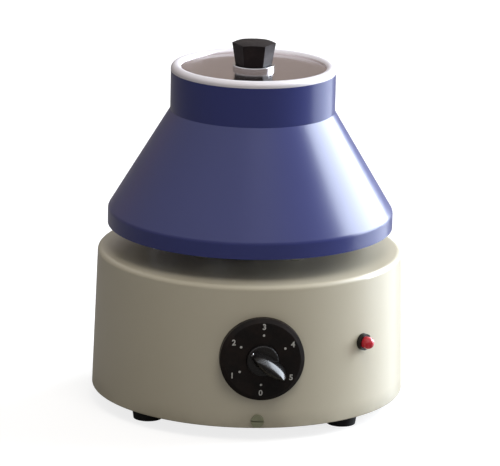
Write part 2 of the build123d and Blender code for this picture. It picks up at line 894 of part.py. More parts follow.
with BuildPart() as dial_plate:
    with BuildSketch(out_plane(0.0, dial_height, dial_face)):
        Circle(dial_r)
    extrude(amount=-(dial_stand + dial_seat_depth))
    chamfer(
        dial_plate.faces().sort_by(Axis.Y)[0].edges(), length=dial_bevel, length2=dial_bevel_depth
    )
    with BuildSketch(out_plane(0.0, dial_height, dial_face)):
        Circle(dial_bore_r)
    extrude(amount=-(dial_stand + dial_seat_depth), mode=Mode.SUBTRACT)
    add(housing_form.part, mode=Mode.SUBTRACT)
keep(dial_plate, "dial_plate")

spindle_bore_r = spindle_r + spindle_gap
with BuildPart() as regulator_bushing:
    with BuildSketch(out_plane(0.0, dial_height, regulator_front)):
        Circle(bushing_flange_r)
    extrude(amount=bushing_flange_height)
    with BuildSketch(out_plane(0.0, dial_height, regulator_front)):
        Circle(bushing_r)
    extrude(amount=dial_face + bushing_nut_height - regulator_front)
    with BuildSketch(out_plane(0.0, dial_height, regulator_front)):
        Circle(spindle_bore_r)
    extrude(amount=dial_face + bushing_nut_height - regulator_front, mode=Mode.SUBTRACT)
keep(regulator_bushing, "regulator_bushing")

with BuildPart() as regulator_nut:
    with BuildSketch(out_plane(0.0, dial_height, dial_face)):
        RegularPolygon(bushing_nut_corner_r, HEX_SIDE_COUNT)
        Circle(bushing_r, mode=Mode.SUBTRACT)
    extrude(amount=bushing_nut_height)
keep(regulator_nut, "regulator_nut")

with BuildPart() as regulator_body:
    with BuildSketch(out_plane(0.0, dial_height, regulator_back)):
        Circle(regulator_r)
    extrude(amount=regulator_depth)
    fillet(regulator_body.faces().sort_by(Axis.Y)[0].edges(), regulator_edge_r)
    with BuildSketch(out_plane(0.0, dial_height, regulator_back)):
        Circle(winding_ring_r)
        Circle(winding_ring_bore_r, mode=Mode.SUBTRACT)
    extrude(amount=winding_ring_depth, mode=Mode.SUBTRACT)
    with BuildSketch(out_plane(0.0, dial_height, regulator_back)):
        Circle(spindle_bore_r)
    extrude(amount=regulator_depth, mode=Mode.SUBTRACT)
keep(regulator_body, "regulator_body")

with BuildPart() as regulator_winding:
    with BuildSketch(out_plane(0.0, dial_height, winding_back)):
        Circle(winding_ring_r)
        Circle(winding_ring_bore_r, mode=Mode.SUBTRACT)
        with Locations((0, -winding_ring_r)):
            Rectangle(winding_gap_width, 2 * (winding_ring_r - winding_ring_bore_r) + bushing_r,
                      mode=Mode.SUBTRACT)
    extrude(amount=winding_stand + winding_ring_depth)
keep(regulator_winding, "regulator_winding")

wiper_front = winding_back - wiper_gap
wiper_back = wiper_front - wiper_thickness
with BuildPart() as regulator_wiper:
    with BuildSketch(out_plane(0.0, dial_height, wiper_back)):
        Circle(wiper_hub_r)
        with Locations((sin(radians(pointer_rest_angle)) * wiper_reach / 2,
                        cos(radians(pointer_rest_angle)) * wiper_reach / 2)):
            RectangleRounded(wiper_width, wiper_reach, wiper_width / 3, rotation=-pointer_rest_angle)
        Circle(spindle_r, mode=Mode.SUBTRACT)
    extrude(amount=wiper_thickness)
keep(regulator_wiper, "regulator_wiper")

pointer_back = dial_face + pointer_gap
with BuildPart() as regulator_spindle:
    with BuildSketch(out_plane(0.0, dial_height, wiper_back)):
        Circle(spindle_r)
    extrude(amount=pointer_back + spindle_grip - wiper_back)
keep(regulator_spindle, "regulator_spindle")


def pointer_plane(reach):
    """A plane across the dial's axis, with its local Y towards the pointer's tip."""
    turn = radians(pointer_rest_angle)
    return Plane(origin=(0, -reach, dial_height), x_dir=(cos(turn), 0, -sin(turn)),
                 z_dir=(0, -1, 0))


def pointer_outline(tail, tip, tail_width, tip_width):
    """Closed outline of the pointer bar, from its tail to its tip, along local Y."""
    return Polyline(
        (-tail_width / 2, -tail),
        (tail_width / 2, -tail),
        (tail_width / 2, 0),
        (tip_width / 2, tip),
        (-tip_width / 2, tip),
        (-tail_width / 2, 0),
        close=True,
    )


pointer_front = pointer_back + pointer_height
with BuildPart() as pointer_knob:
    with BuildSketch(out_plane(0.0, dial_height, pointer_back)):
        Circle(pointer_skirt_r)
    with BuildSketch(out_plane(0.0, dial_height, pointer_back + pointer_skirt_height)):
        Circle(pointer_skirt_r - pointer_skirt_draft)
    loft()
    with BuildSketch(pointer_plane(pointer_back)) as bar_base:
        with BuildLine():
            pointer_outline(pointer_tail, pointer_tip, pointer_tail_width, pointer_tip_width)
        make_face()
    with BuildSketch(pointer_plane(pointer_front)) as bar_ridge:
        with BuildLine():
            pointer_outline(
                pointer_ridge_tail, pointer_ridge_tip, pointer_ridge_width,
                pointer_ridge_tip_width,
            )
        make_face()
    loft(sections=[bar_base.sketch, bar_ridge.sketch], ruled=True)
    with BuildSketch(out_plane(0.0, dial_height, pointer_back)):
        Circle(bushing_nut_corner_r + pointer_recess_gap)
    extrude(amount=bushing_nut_height + pointer_recess_gap, mode=Mode.SUBTRACT)
    with BuildSketch(out_plane(0.0, dial_height, pointer_back)):
        Circle(spindle_r)
    extrude(amount=spindle_grip, mode=Mode.SUBTRACT)
    across = pointer_plane(pointer_back + grub_screw_rise)
    grub_plane = Plane(origin=across.origin, x_dir=across.z_dir, z_dir=-across.y_dir)
    with BuildSketch(grub_plane):
        Circle(grub_screw_r)
    extrude(amount=pointer_skirt_r, mode=Mode.SUBTRACT)
keep(pointer_knob, "pointer_knob")

with BuildPart() as knob_grub_screw:
    with BuildSketch(grub_plane.offset(spindle_r)):
        Circle(grub_screw_r)
    extrude(amount=grub_screw_length)
keep(knob_grub_screw, "knob_grub_screw")

# ---------------------------------------------------------------- pilot lamp

lamp_wall = wall_r(lamp_height)
lamp_seat = wall_sag(lamp_height, lamp_bezel_r) + seat_gap
lamp_nut_gap = wall_sag(lamp_height, lamp_nut_corner_r, housing_wall) + seat_gap
lamp_hole_r = lamp_lens_r + lamp_fit_gap
with BuildPart() as lamp_bezel:
    with BuildSketch(out_plane(lamp_azimuth, lamp_height, lamp_wall + lamp_bezel_stand)):
        Circle(lamp_bezel_r)
    extrude(amount=-(lamp_bezel_stand + lamp_seat), taper=-lamp_bezel_draft_angle)
    add(housing_form.part, mode=Mode.SUBTRACT)
    with BuildSketch(out_plane(lamp_azimuth, lamp_height, lamp_wall + lamp_bezel_stand)):
        Circle(lamp_hole_r)
    extrude(amount=-(lamp_bezel_stand + lamp_seat), mode=Mode.SUBTRACT)
keep(lamp_bezel, "lamp_bezel")

lens_plane = out_plane(lamp_azimuth, lamp_height, lamp_wall + lamp_lens_lift)
with BuildPart() as lamp_lens:
    with BuildSketch(Plane(origin=lens_plane.origin, x_dir=lens_plane.x_dir,
                           z_dir=-lens_plane.y_dir)):
        with BuildLine():
            lens_length = lamp_lens_stand - lamp_lens_lift
            straight = lens_length - lamp_lens_r
            Line((0, 0), (lamp_lens_r, 0))
            Line((lamp_lens_r, 0), (lamp_lens_r, straight))
            JernArc((lamp_lens_r, straight), (0, 1), lamp_lens_r, FULL_TURN_ANGLE / 4)
            Line((0, lens_length), (0, 0))
        make_face()
    revolve(axis=Axis(lens_plane.origin, lens_plane.z_dir))
keep(lamp_lens, "lamp_lens")

with BuildPart() as lamp_body:
    with BuildSketch(lens_plane):
        Circle(lamp_body_r)
    extrude(amount=-lamp_body_depth)
keep(lamp_body, "lamp_body")

with BuildPart() as lamp_nut:
    with BuildSketch(lens_plane.offset(-(lamp_lens_lift + housing_wall + lamp_nut_gap))):
        RegularPolygon(lamp_nut_corner_r, HEX_SIDE_COUNT)
        Circle(lamp_body_r + lamp_fit_gap, mode=Mode.SUBTRACT)
    extrude(amount=-nut_height)
keep(lamp_nut, "lamp_nut")

# ---------------------------------------------------------------- cord gland

gland_wall = wall_r(gland_height)
gland_seat = wall_sag(gland_height, gland_hex_corner_r) + seat_gap
gland_lock_gap = wall_sag(gland_height, gland_hex_corner_r, housing_wall) + seat_gap
gland_back = gland_wall - housing_wall - gland_lock_height - gland_lock_gap
gland_hex_face = gland_wall + gland_hex_height
gland_barrel_face = gland_hex_face + gland_barrel_height
gland_shoulder = gland_wall + gland_shoulder_rise
cord_bore_r = cord_r + cord_gap


def gland_plane(reach):
    """A plane across the cord gland, `reach` from the shaft, facing out."""
    return out_plane(FULL_TURN_ANGLE / 2, gland_height, reach)


with BuildPart() as gland_body:
    with BuildSketch(gland_plane(gland_hex_face)):
        RegularPolygon(gland_hex_corner_r, HEX_SIDE_COUNT, rotation=FULL_TURN_ANGLE / 12)
    extrude(amount=-(gland_hex_height + gland_seat))
    add(housing_form.part, mode=Mode.SUBTRACT)
    with BuildSketch(gland_plane(gland_back)):
        Circle(gland_shank_r)
    extrude(amount=gland_hex_face - gland_back)
    with BuildSketch(gland_plane(gland_hex_face)):
        Circle(gland_barrel_r)
    extrude(amount=gland_barrel_height)
    with BuildSketch(gland_plane(gland_back)):
        Circle(gland_entry_r)
    extrude(amount=gland_shoulder - gland_back, mode=Mode.SUBTRACT)
    with BuildSketch(gland_plane(gland_shoulder)):
        Circle(gland_seal_r)
    extrude(amount=gland_barrel_face - gland_shoulder, mode=Mode.SUBTRACT)
keep(gland_body, "gland_body")

gland_cap_start = gland_hex_face + gland_cap_gap
gland_cap_end = gland_cap_start + gland_cap_height
with BuildPart() as gland_cap:
    with BuildSketch(gland_plane(gland_cap_start)):
        Circle(gland_cap_r)
    with BuildSketch(gland_plane(gland_cap_end)):
        Circle(gland_cap_end_r)
    loft()
    with BuildSketch(gland_plane(gland_cap_start)):
        Circle(gland_barrel_r)
    extrude(amount=gland_barrel_height, mode=Mode.SUBTRACT)
    with BuildSketch(gland_plane(gland_cap_start)):
        Circle(gland_seal_r)
    extrude(amount=gland_cap_height, mode=Mode.SUBTRACT)
keep(gland_cap, "gland_cap")

with BuildPart() as gland_seal:
    with BuildSketch(gland_plane(gland_shoulder)):
        Circle(gland_seal_r)
        Circle(cord_bore_r, mode=Mode.SUBTRACT)
    extrude(amount=gland_cap_end - gland_shoulder)
keep(gland_seal, "gland_seal")

with BuildPart() as gland_lock_nut:
    with BuildSketch(gland_plane(gland_back)):
        RegularPolygon(gland_hex_corner_r, HEX_SIDE_COUNT, rotation=FULL_TURN_ANGLE / 12)
        Circle(gland_shank_r, mode=Mode.SUBTRACT)
    extrude(amount=gland_lock_height)
keep(gland_lock_nut, "gland_lock_nut")

with BuildPart() as terminal_block:
    with BuildSketch(Plane.XY.offset(pan_top_z)):
        with Locations((0, pan_r - terminal_setback)):
            Rectangle(terminal_length, terminal_depth)
    extrude(amount=terminal_height)
    with BuildSketch(Plane.XY.offset(pan_top_z + terminal_height)):
        with Locations((0, pan_r - terminal_setback)):
            with GridLocations(terminal_length / terminal_ways, terminal_depth / 2,
                               terminal_ways, 2):
                Circle(terminal_screw_r)
    extrude(amount=-terminal_screw_depth, mode=Mode.SUBTRACT)
keep(terminal_block, "terminal_block")

# ---------------------------------------------------------------- angle head

with BuildPart() as head_hub:
    with BuildSketch(Plane.XZ):
        with BuildLine():
            Polyline(
                (shaft_r, hub_z),
                (hub_foot_r, hub_z),
                (hub_foot_r, hub_z + hub_foot_height),
                (hub_stem_r, hub_z + hub_foot_height + (hub_foot_r - hub_stem_r)),
                (hub_stem_r, hub_seat_z - hub_flange_height - (hub_flange_r - hub_stem_r)),
                (hub_flange_r, hub_seat_z - hub_flange_height),
                (hub_flange_r, hub_seat_z),
                (hub_column_r, hub_seat_z),
                (hub_column_r, hub_top_z - hub_neck_height),
                (hub_neck_r, hub_top_z - hub_neck_height + (hub_column_r - hub_neck_r)),
                (hub_neck_r, hub_top_z),
                (stud_r + stud_gap, hub_top_z),
                (stud_r + stud_gap, stud_low_z - stud_end_gap),
                (0, stud_low_z - stud_end_gap),
                (0, shaft_top_z),
                (shaft_r, shaft_top_z),
                close=True,
            )
        make_face()
    revolve(axis=Axis.Z)
keep(head_hub, "head_hub")

rim_top_z = carrier_flat_z + (collar_inner_r - carrier_flat_r) * tan(tilt) + carrier_rim_height
rim_r = collar_inner_r - carrier_rim_wall
slope_drop = carrier_wall / cos(tilt)
with BuildPart() as sleeve_carrier:
    with BuildSketch(Plane.XZ):
        with BuildLine():
            Polyline(
                (hub_column_r, hub_seat_z),
                (carrier_flat_r + (slope_drop - carrier_wall) / tan(tilt), hub_seat_z),
                (collar_inner_r, carrier_flat_z
                 + (collar_inner_r - carrier_flat_r) * tan(tilt) - slope_drop),
                (collar_inner_r, rim_top_z),
                (rim_r, rim_top_z),
                (rim_r, carrier_flat_z + (rim_r - carrier_flat_r) * tan(tilt)),
                (carrier_flat_r, carrier_flat_z),
                (hub_column_r, carrier_flat_z),
                close=True,
            )
        make_face()
    revolve(axis=Axis.Z)
    for azimuth in tube_azimuths:
        with BuildSketch(sleeve_mouth(azimuth)):
            Circle(sleeve_flange_r + carrier_hole_gap)
        extrude(amount=sleeve_flange_r, mode=Mode.SUBTRACT)
        with BuildSketch(sleeve_mouth(azimuth)):
            Circle(sleeve_neck_r + carrier_hole_gap)
        extrude(amount=-2 * sleeve_neck_length, mode=Mode.SUBTRACT)
keep(sleeve_carrier, "sleeve_carrier")

with BuildPart() as carrier_nut:
    with BuildSketch(Plane.XY.offset(carrier_flat_z)):
        RegularPolygon(hub_nut_corner_r, HEX_SIDE_COUNT)
        Circle(hub_column_r, mode=Mode.SUBTRACT)
    extrude(amount=hub_nut_height)
keep(carrier_nut, "carrier_nut")

with BuildPart() as wind_shield:
    with BuildSketch(Plane.XZ):
        with BuildLine():
            inner_crease_z = shield_crease_z - shield_corner_drop
            inner_collar_z = collar_z - shield_corner_drop
            Polyline(
                (shield_r, shield_z),
                (shield_r, shield_crease_z),
                (collar_r, collar_z),
                (collar_r, collar_top_z),
                (collar_inner_r, collar_top_z),
                (collar_inner_r, inner_collar_z),
                (shield_r - shield_wall, inner_crease_z),
                (shield_r - shield_wall, shield_z),
                close=True,
            )
        make_face()
    revolve(axis=Axis.Z)
    creases = wind_shield.edges().filter_by(GeomType.CIRCLE).filter_by(
        lambda edge: edge.radius > shield_r - EPS and edge.center().Z > shield_z + EPS
    )
    fillet(creases, shield_crease_r)
keep(wind_shield, "wind_shield")

with BuildPart() as tube_sleeves:
    for azimuth in tube_azimuths:
        section = sleeve_section(azimuth)
        with BuildSketch(section):
            with BuildLine():
                round_y = -(sleeve_length - sleeve_r)
                Polyline(
                    (0, -(sleeve_length - sleeve_wall)),
                    (0, -sleeve_length),
                )
                JernArc((0, -sleeve_length), (1, 0), sleeve_r, FULL_TURN_ANGLE / 4)
                Polyline(
                    (sleeve_r, round_y),
                    (sleeve_r, -sleeve_neck_length),
                    (sleeve_neck_r, -sleeve_neck_length + sleeve_neck_wall - sleeve_wall),
                    (sleeve_neck_r, 0),
                    (sleeve_flange_r, 0),
                    (sleeve_flange_r, sleeve_flange_height),
                    (sleeve_bore_r + sleeve_lead_in, sleeve_flange_height),
                    (sleeve_bore_r, 0),
                    (sleeve_bore_r, round_y),
                )
                JernArc((sleeve_bore_r, round_y), (0, -1), sleeve_bore_r, -FULL_TURN_ANGLE / 4)
            make_face()
        revolve(axis=Axis(section.origin, section.y_dir))
keep(tube_sleeves, "tube_sleeves")

with BuildPart() as sleeve_cushions:
    for azimuth in tube_azimuths:
        section = sleeve_section(azimuth)
        with BuildSketch(section):
            with BuildLine():
                cushion_y = -(sleeve_length - sleeve_r) - cushion_drop
                cushion_r = sleeve_bore_r - cushion_gap
                cushion_round_y = -(sleeve_length - sleeve_r)
                edge_r = sqrt(cushion_r**2 - cushion_drop**2)
                RadiusArc(
                    (edge_r, cushion_y), (0, cushion_round_y - cushion_r), cushion_r,
                )
                Line((0, cushion_round_y - cushion_r), (0, cushion_y - cushion_dish))
                RadiusArc(
                    (0, cushion_y - cushion_dish), (edge_r, cushion_y),
                    -(edge_r**2 + cushion_dish**2) / (2 * cushion_dish),
                )
            make_face()
        revolve(axis=Axis(section.origin, section.y_dir))
keep(sleeve_cushions, "sleeve_cushions")

# ---------------------------------------------------------------- lid, ring and clamp knob

spigot_r = collar_inner_r - lid_spigot_gap
with BuildPart() as lid:
    with BuildSketch(Plane.XZ):
        with BuildLine():
            Polyline(
                (stud_r + stud_gap, lid_floor_z),
                (stud_r + stud_gap, lid_under_z),
                (lid_dish_r, lid_under_z),
                (spigot_r - lid_spigot_wall, lid_under_z + lid_pan_rise),
                (spigot_r - lid_spigot_wall, collar_top_z - lid_spigot_depth),
                (spigot_r, collar_top_z - lid_spigot_depth),
                (spigot_r, collar_top_z),
                (collar_r, collar_top_z),
            )
            ThreePointArc(
                (collar_r, collar_top_z),
                (lid_rim_crest_r, collar_top_z + lid_rim_crest),
                (lid_rim_inner_r, collar_top_z + lid_rim_inner_rise),
            )
            Polyline(
                (lid_rim_inner_r, collar_top_z + lid_rim_inner_rise),
                (lid_dish_r, lid_floor_z),
                (stud_r + stud_gap, lid_floor_z),
            )
        make_face()
    revolve(axis=Axis.Z)
keep(lid, "lid")

with BuildPart() as lid_ring:
    with BuildSketch(Plane.XY.offset(lid_floor_z)):
        Circle(ring_r)
    extrude(amount=ring_height)
    fillet(lid_ring.edges().group_by(Axis.Z)[-1], ring_edge_r)
    with BuildSketch(Plane.XY.offset(lid_floor_z)):
        Circle(stud_flange_r + stud_flange_gap)
    extrude(amount=stud_flange_height + 2 * stud_flange_gap, mode=Mode.SUBTRACT)
    with BuildSketch(Plane.XY.offset(lid_floor_z)):
        Circle(stud_r + stud_gap)
    extrude(amount=ring_height, mode=Mode.SUBTRACT)
keep(lid_ring, "lid_ring")

with BuildPart() as clamp_stud:
    with BuildSketch(Plane.XY.offset(stud_low_z)):
        Circle(stud_r)
    extrude(amount=knob_z + stud_grip - stud_low_z)
    with BuildSketch(Plane.XY.offset(lid_floor_z + stud_flange_gap)):
        Circle(stud_flange_r)
    extrude(amount=stud_flange_height)
    chamfer(clamp_stud.faces().sort_by(Axis.Z)[0].edges(), shaft_chamfer)
keep(clamp_stud, "clamp_stud")

hex_turn = knob_azimuth - FULL_TURN_ANGLE / 4 + FULL_TURN_ANGLE / 12
knob_top_z = knob_z + knob_height
with BuildPart() as clamp_knob:
    with BuildSketch(Plane.XY.offset(knob_z)):
        RegularPolygon(knob_bottom_corner_r, HEX_SIDE_COUNT, rotation=hex_turn)
    with BuildSketch(Plane.XY.offset(knob_top_z)):
        RegularPolygon(knob_top_corner_r, HEX_SIDE_COUNT, rotation=hex_turn)
    loft()
    fillet(
        clamp_knob.edges().filter_by(lambda edge: abs(edge.tangent_at(0.5).Z) > 0.5), knob_edge_r
    )
    crown_r = (knob_top_corner_r**2 + knob_crown**2) / (2 * knob_crown)
    with Locations((0, 0, knob_top_z - crown_r)):
        Sphere(crown_r, mode=Mode.INTERSECT)
    with BuildSketch(Plane.XY.offset(knob_z)):
        Circle(stud_r)
    extrude(amount=stud_grip, mode=Mode.SUBTRACT)
keep(clamp_knob, "clamp_knob")

print(f"{len(written)} nodes, {knob_top_z:.1f} tall")
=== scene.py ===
"""Looks of a bench centrifuge: an enamelled motor base under a wind-shielded angle head.

Every length is in metres, in the part's own frame: +Z runs up along the shaft and -Y is the
way that the speed dial faces. Azimuths are measured from the dial and grow towards +X.
"""

from __future__ import annotations

import json
import logging
import math
from dataclasses import dataclass, field
from enum import Enum
from typing import Callable, Protocol, Sequence

import bpy
from mathutils import Matrix, Vector

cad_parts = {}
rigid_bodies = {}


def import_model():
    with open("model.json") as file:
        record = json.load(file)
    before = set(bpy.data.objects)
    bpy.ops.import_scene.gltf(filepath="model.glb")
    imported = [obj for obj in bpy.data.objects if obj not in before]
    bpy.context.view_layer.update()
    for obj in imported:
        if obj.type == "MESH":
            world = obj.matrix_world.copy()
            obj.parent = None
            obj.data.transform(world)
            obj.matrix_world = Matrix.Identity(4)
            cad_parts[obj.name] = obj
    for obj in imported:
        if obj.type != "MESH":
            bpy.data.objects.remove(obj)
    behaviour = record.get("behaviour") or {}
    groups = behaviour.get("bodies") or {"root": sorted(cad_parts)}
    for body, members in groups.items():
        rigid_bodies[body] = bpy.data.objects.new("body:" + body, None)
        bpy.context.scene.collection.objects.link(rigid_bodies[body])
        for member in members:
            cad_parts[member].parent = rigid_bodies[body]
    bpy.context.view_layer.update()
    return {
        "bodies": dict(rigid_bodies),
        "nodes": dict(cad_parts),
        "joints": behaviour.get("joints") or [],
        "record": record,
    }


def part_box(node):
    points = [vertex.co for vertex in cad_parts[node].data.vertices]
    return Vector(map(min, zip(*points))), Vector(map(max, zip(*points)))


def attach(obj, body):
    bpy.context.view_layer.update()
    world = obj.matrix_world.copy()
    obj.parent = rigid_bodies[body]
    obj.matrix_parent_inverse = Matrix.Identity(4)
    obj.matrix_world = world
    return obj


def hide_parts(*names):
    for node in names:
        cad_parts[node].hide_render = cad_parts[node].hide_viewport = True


LOG = logging.getLogger("centrifuge")
DIAL_HEIGHT = 0.0622
QUARTER_TURN = math.radians(90)
Colour = tuple[float, float, float, float]
Spot = tuple[float, float, float]
Stops = tuple[tuple[float, Spot], ...]


def tone(red: int, green: int, blue: int) -> Colour:
    """Turns a screen colour of 0 to 255 into the linear colour that a shader takes.

    Args:
        red: red of the screen colour.
        green: green of the screen colour.
        blue: blue of the screen colour.

    Returns:
        Linear red, green and blue, and an alpha of 1.
    """
    shares = [value / 255 for value in (red, green, blue)]
    linear = [s / 12.92 if s <= 0.04045 else ((s + 0.055) / 1.055) ** 2.4 for s in shares]
    return (linear[0], linear[1], linear[2], 1.0)


def polar(azimuth: float, reach: float, height: float) -> Vector:
    """Gives a point by its place round the shaft.

    Args:
        azimuth: the azimuth in degrees.
        reach: the distance from the shaft.
        height: the height.

    Returns:
        The point.
    """
    turn = math.radians(azimuth)
    return Vector((math.sin(turn) * reach, -math.cos(turn) * reach, height))


class Axis(Enum):
    """An axis of the part's frame."""

    X = "X"
    Y = "Y"
    Z = "Z"


class Sum(Enum):
    """What a Math node works out."""

    ADD = "ADD"
    MAXIMUM = "MAXIMUM"
    MULTIPLY = "MULTIPLY"
    SINE = "SINE"


class Wiring:
    """A node tree, with short calls for the nodes that finishes and surroundings share."""

    def __init__(self, tree: bpy.types.NodeTree) -> None:
        """Takes a node tree and empties it."""
        self.tree = tree
        self.tree.nodes.clear()

    def put(self, socket: bpy.types.NodeSocket, value: object) -> None:
        """Sets a socket.

        Args:
            socket: the input to set.
            value: a constant, or another socket to link to it.
        """
        if isinstance(value, bpy.types.NodeSocket):
            self.tree.links.new(value, socket)
        else:
            socket.default_value = value

    def work_out(self, operation: Sum, first: object, second: object) -> bpy.types.NodeSocket:
        """Works out a sum.

        Args:
            operation: what the sum does.
            first: its first value or socket.
            second: its second value or socket.

        Returns:
            The result's socket.
        """
        node = self.tree.nodes.new("ShaderNodeMath")
        node.operation = operation.value
        self.put(node.inputs[0], first)
        self.put(node.inputs[1], second)
        return node.outputs[0]

    def mixed(self, share: object, first: object, second: object) -> bpy.types.NodeSocket:
        """Mixes two shaders.

        Args:
            share: the share of the second shader.
            first: the first shader's socket.
            second: the second shader's socket.

        Returns:
            The mixed shader's socket.
        """
        node = self.tree.nodes.new("ShaderNodeMixShader")
        for socket, value in zip(node.inputs, (share, first, second)):
            self.put(socket, value)
        return node.outputs["Shader"]


class Recipe(Wiring):
    """The node tree of one material, around a Principled shader."""

    def __init__(self, name: str) -> None:
        """Starts a material with its shader and the piece's Object coordinates.

        Args:
            name: what the material is called.
        """
        self.material = bpy.data.materials.new(name)
        self.material.use_nodes = True
        super().__init__(self.material.node_tree)
        self.shader = self.tree.nodes.new("ShaderNodeBsdfPrincipled")
        self.output = self.tree.nodes.new("ShaderNodeOutputMaterial")
        self.put(self.output.inputs["Surface"], self.shader.outputs["BSDF"])
        self.place = self.tree.nodes.new("ShaderNodeTexCoord").outputs["Object"]

    def set(self, **values: object) -> None:
        """Sets the shader's own sockets.

        Args:
            values: constants or sockets, by socket name in lower case with underscores.
        """
        for key, value in values.items():
            title = key.replace("_", " ").title().replace("Ior", "IOR")
            self.put(self.shader.inputs[title], value)

    def mapped(self, scale: Spot, shift: Spot = (0, 0, 0)) -> bpy.types.NodeSocket:
        """Stretches and moves the Object coordinates.

        Args:
            scale: factors along X, Y and Z.
            shift: what is added after the scale.

        Returns:
            The new coordinates' socket.
        """
        node = self.tree.nodes.new("ShaderNodeMapping")
        self.put(node.inputs["Vector"], self.place)
        node.inputs["Scale"].default_value = scale
        node.inputs["Location"].default_value = shift
        return node.outputs["Vector"]

    def noise(
        self, scale: float, detail: float = 2.0, roughness: float = 0.5, at: object = None
    ) -> bpy.types.NodeSocket:
        """Gives a noise value.

        Args:
            scale: spots to a metre.
            detail: octaves of finer noise.
            roughness: how strong the finer octaves are.
            at: the coordinates, or None for the piece's own.

        Returns:
            The noise's value socket.
        """
        node = self.tree.nodes.new("ShaderNodeTexNoise")
        self.put(node.inputs["Vector"], self.place if at is None else at)
        node.inputs["Scale"].default_value = scale
        node.inputs["Detail"].default_value = detail
        node.inputs["Roughness"].default_value = roughness
        return node.outputs["Fac"]

    def line_noise(
        self, value: bpy.types.NodeSocket, scale: float, detail: float = 3.0
    ) -> bpy.types.NodeSocket:
        """Gives noise along one value, for rings and lines of uneven depth.

        Args:
            value: the socket that the noise runs along.
            scale: lines to a metre.
            detail: octaves of finer lines.

        Returns:
            The noise's value socket.
        """
        node = self.tree.nodes.new("ShaderNodeTexNoise")
        node.noise_dimensions = "1D"
        self.put(node.inputs["W"], value)
        node.inputs["Scale"].default_value = scale
        node.inputs["Detail"].default_value = detail
        return node.outputs["Fac"]

    def specks(self, scale: float) -> bpy.types.NodeSocket:
        """Gives the distance to the nearest of many scattered points.

        Args:
            scale: points to a metre.

        Returns:
            The distance's socket.
        """
        node = self.tree.nodes.new("ShaderNodeTexVoronoi")
        self.put(node.inputs["Vector"], self.place)
        node.inputs["Scale"].default_value = scale
        return node.outputs["Distance"]

    def span(
        self, value: object, low: float, high: float, to_low: float, to_high: float
    ) -> bpy.types.NodeSocket:
        """Carries a value from one range to another, and clamps it there.

        Args:
            value: the value's socket.
            low: where its range starts.
            high: where its range ends.
            to_low: what the start becomes.
            to_high: what the end becomes.

        Returns:
            The carried value's socket.
        """
        node = self.tree.nodes.new("ShaderNodeMapRange")
        self.put(node.inputs["Value"], value)
        ends = {"From Min": low, "From Max": high, "To Min": to_low, "To Max": to_high}
        for key, number in ends.items():
            node.inputs[key].default_value = number
        return node.outputs["Result"]

    def ridges(self, along: object, pitch: float) -> bpy.types.NodeSocket:
        """Gives even ridges from 0 to 1 along a value.

        Args:
            along: the socket that the ridges run across.
            pitch: ridges to a metre.

        Returns:
            The ridges' height socket.
        """
        phase = self.work_out(Sum.MULTIPLY, along, pitch * math.tau)
        return self.span(self.work_out(Sum.SINE, phase, 0.0), -1.0, 1.0, 0.0, 1.0)

    def blend(self, share: object, first: object, second: object) -> bpy.types.NodeSocket:
        """Mixes two colours.

        Args:
            share: the share of the second colour.
            first: the first colour or its socket.
            second: the second colour or its socket.

        Returns:
            The mixed colour's socket.
        """
        node = self.tree.nodes.new("ShaderNodeMix")
        node.data_type = "RGBA"
        colours = [s for s in node.inputs if s.type == "RGBA"]
        self.put(node.inputs["Factor"], share)
        self.put(colours[0], first)
        self.put(colours[1], second)
        return next(s for s in node.outputs if s.type == "RGBA")

    def mottle(
        self, spots: object, low: float, high: float, share: float, first: object, second: object
    ) -> bpy.types.NodeSocket:
        """Lays soft spots of a second colour over a first.

        Args:
            spots: a noise's socket.
            low: the noise at which a spot starts.
            high: the noise at which it is full.
            share: how much of the second colour a full spot has.
            first: the colour underneath, or its socket.
            second: the spots' colour.

        Returns:
            The mixed colour's socket.
        """
        return self.blend(self.span(spots, low, high, 0.0, share), first, second)

    def part_of(self, axis: Axis) -> bpy.types.NodeSocket:
        """Gives the Object coordinate along an axis.

        Args:
            axis: the axis.

        Returns:
            The coordinate's socket.
        """
        node = self.tree.nodes.new("ShaderNodeSeparateXYZ")
        self.put(node.inputs[0], self.place)
        return node.outputs[axis.value]

    def radius(self, axis: Axis, centre: Spot) -> bpy.types.NodeSocket:
        """Gives the distance from a lathe axis.

        Args:
            axis: the way that the lathe axis runs.
            centre: a point on it.

        Returns:
            The distance's socket.
        """
        flat = tuple(0.0 if way is axis else 1.0 for way in Axis)
        shift = tuple(-c * f for c, f in zip(centre, flat))
        node = self.tree.nodes.new("ShaderNodeVectorMath")
        node.operation = "LENGTH"
        self.put(node.inputs[0], self.mapped(flat, shift))
        return node.outputs["Value"]

    def bump(
        self, height: object, depth: float, strength: float = 1.0, over: object = None
    ) -> bpy.types.NodeSocket:
        """Gives a normal bumped by a height, on top of another bump where one is given.

        Args:
            height: the height socket, 0 to 1.
            depth: how far a height of 1 stands proud, in metres.
            strength: share of the bump that shows.
            over: the normal that it adds to.

        Returns:
            The bumped normal's socket.
        """
        node = self.tree.nodes.new("ShaderNodeBump")
        self.put(node.inputs["Height"], height)
        node.inputs["Distance"].default_value = depth
        node.inputs["Strength"].default_value = strength
        if over is not None:
            self.put(node.inputs["Normal"], over)
        return node.outputs["Normal"]


class Finish(Protocol):
    """What every finish has. Its scales are in spots to a metre, and its depths in metres."""

    name: str

    def material(self) -> bpy.types.Material:
        """Builds the material."""


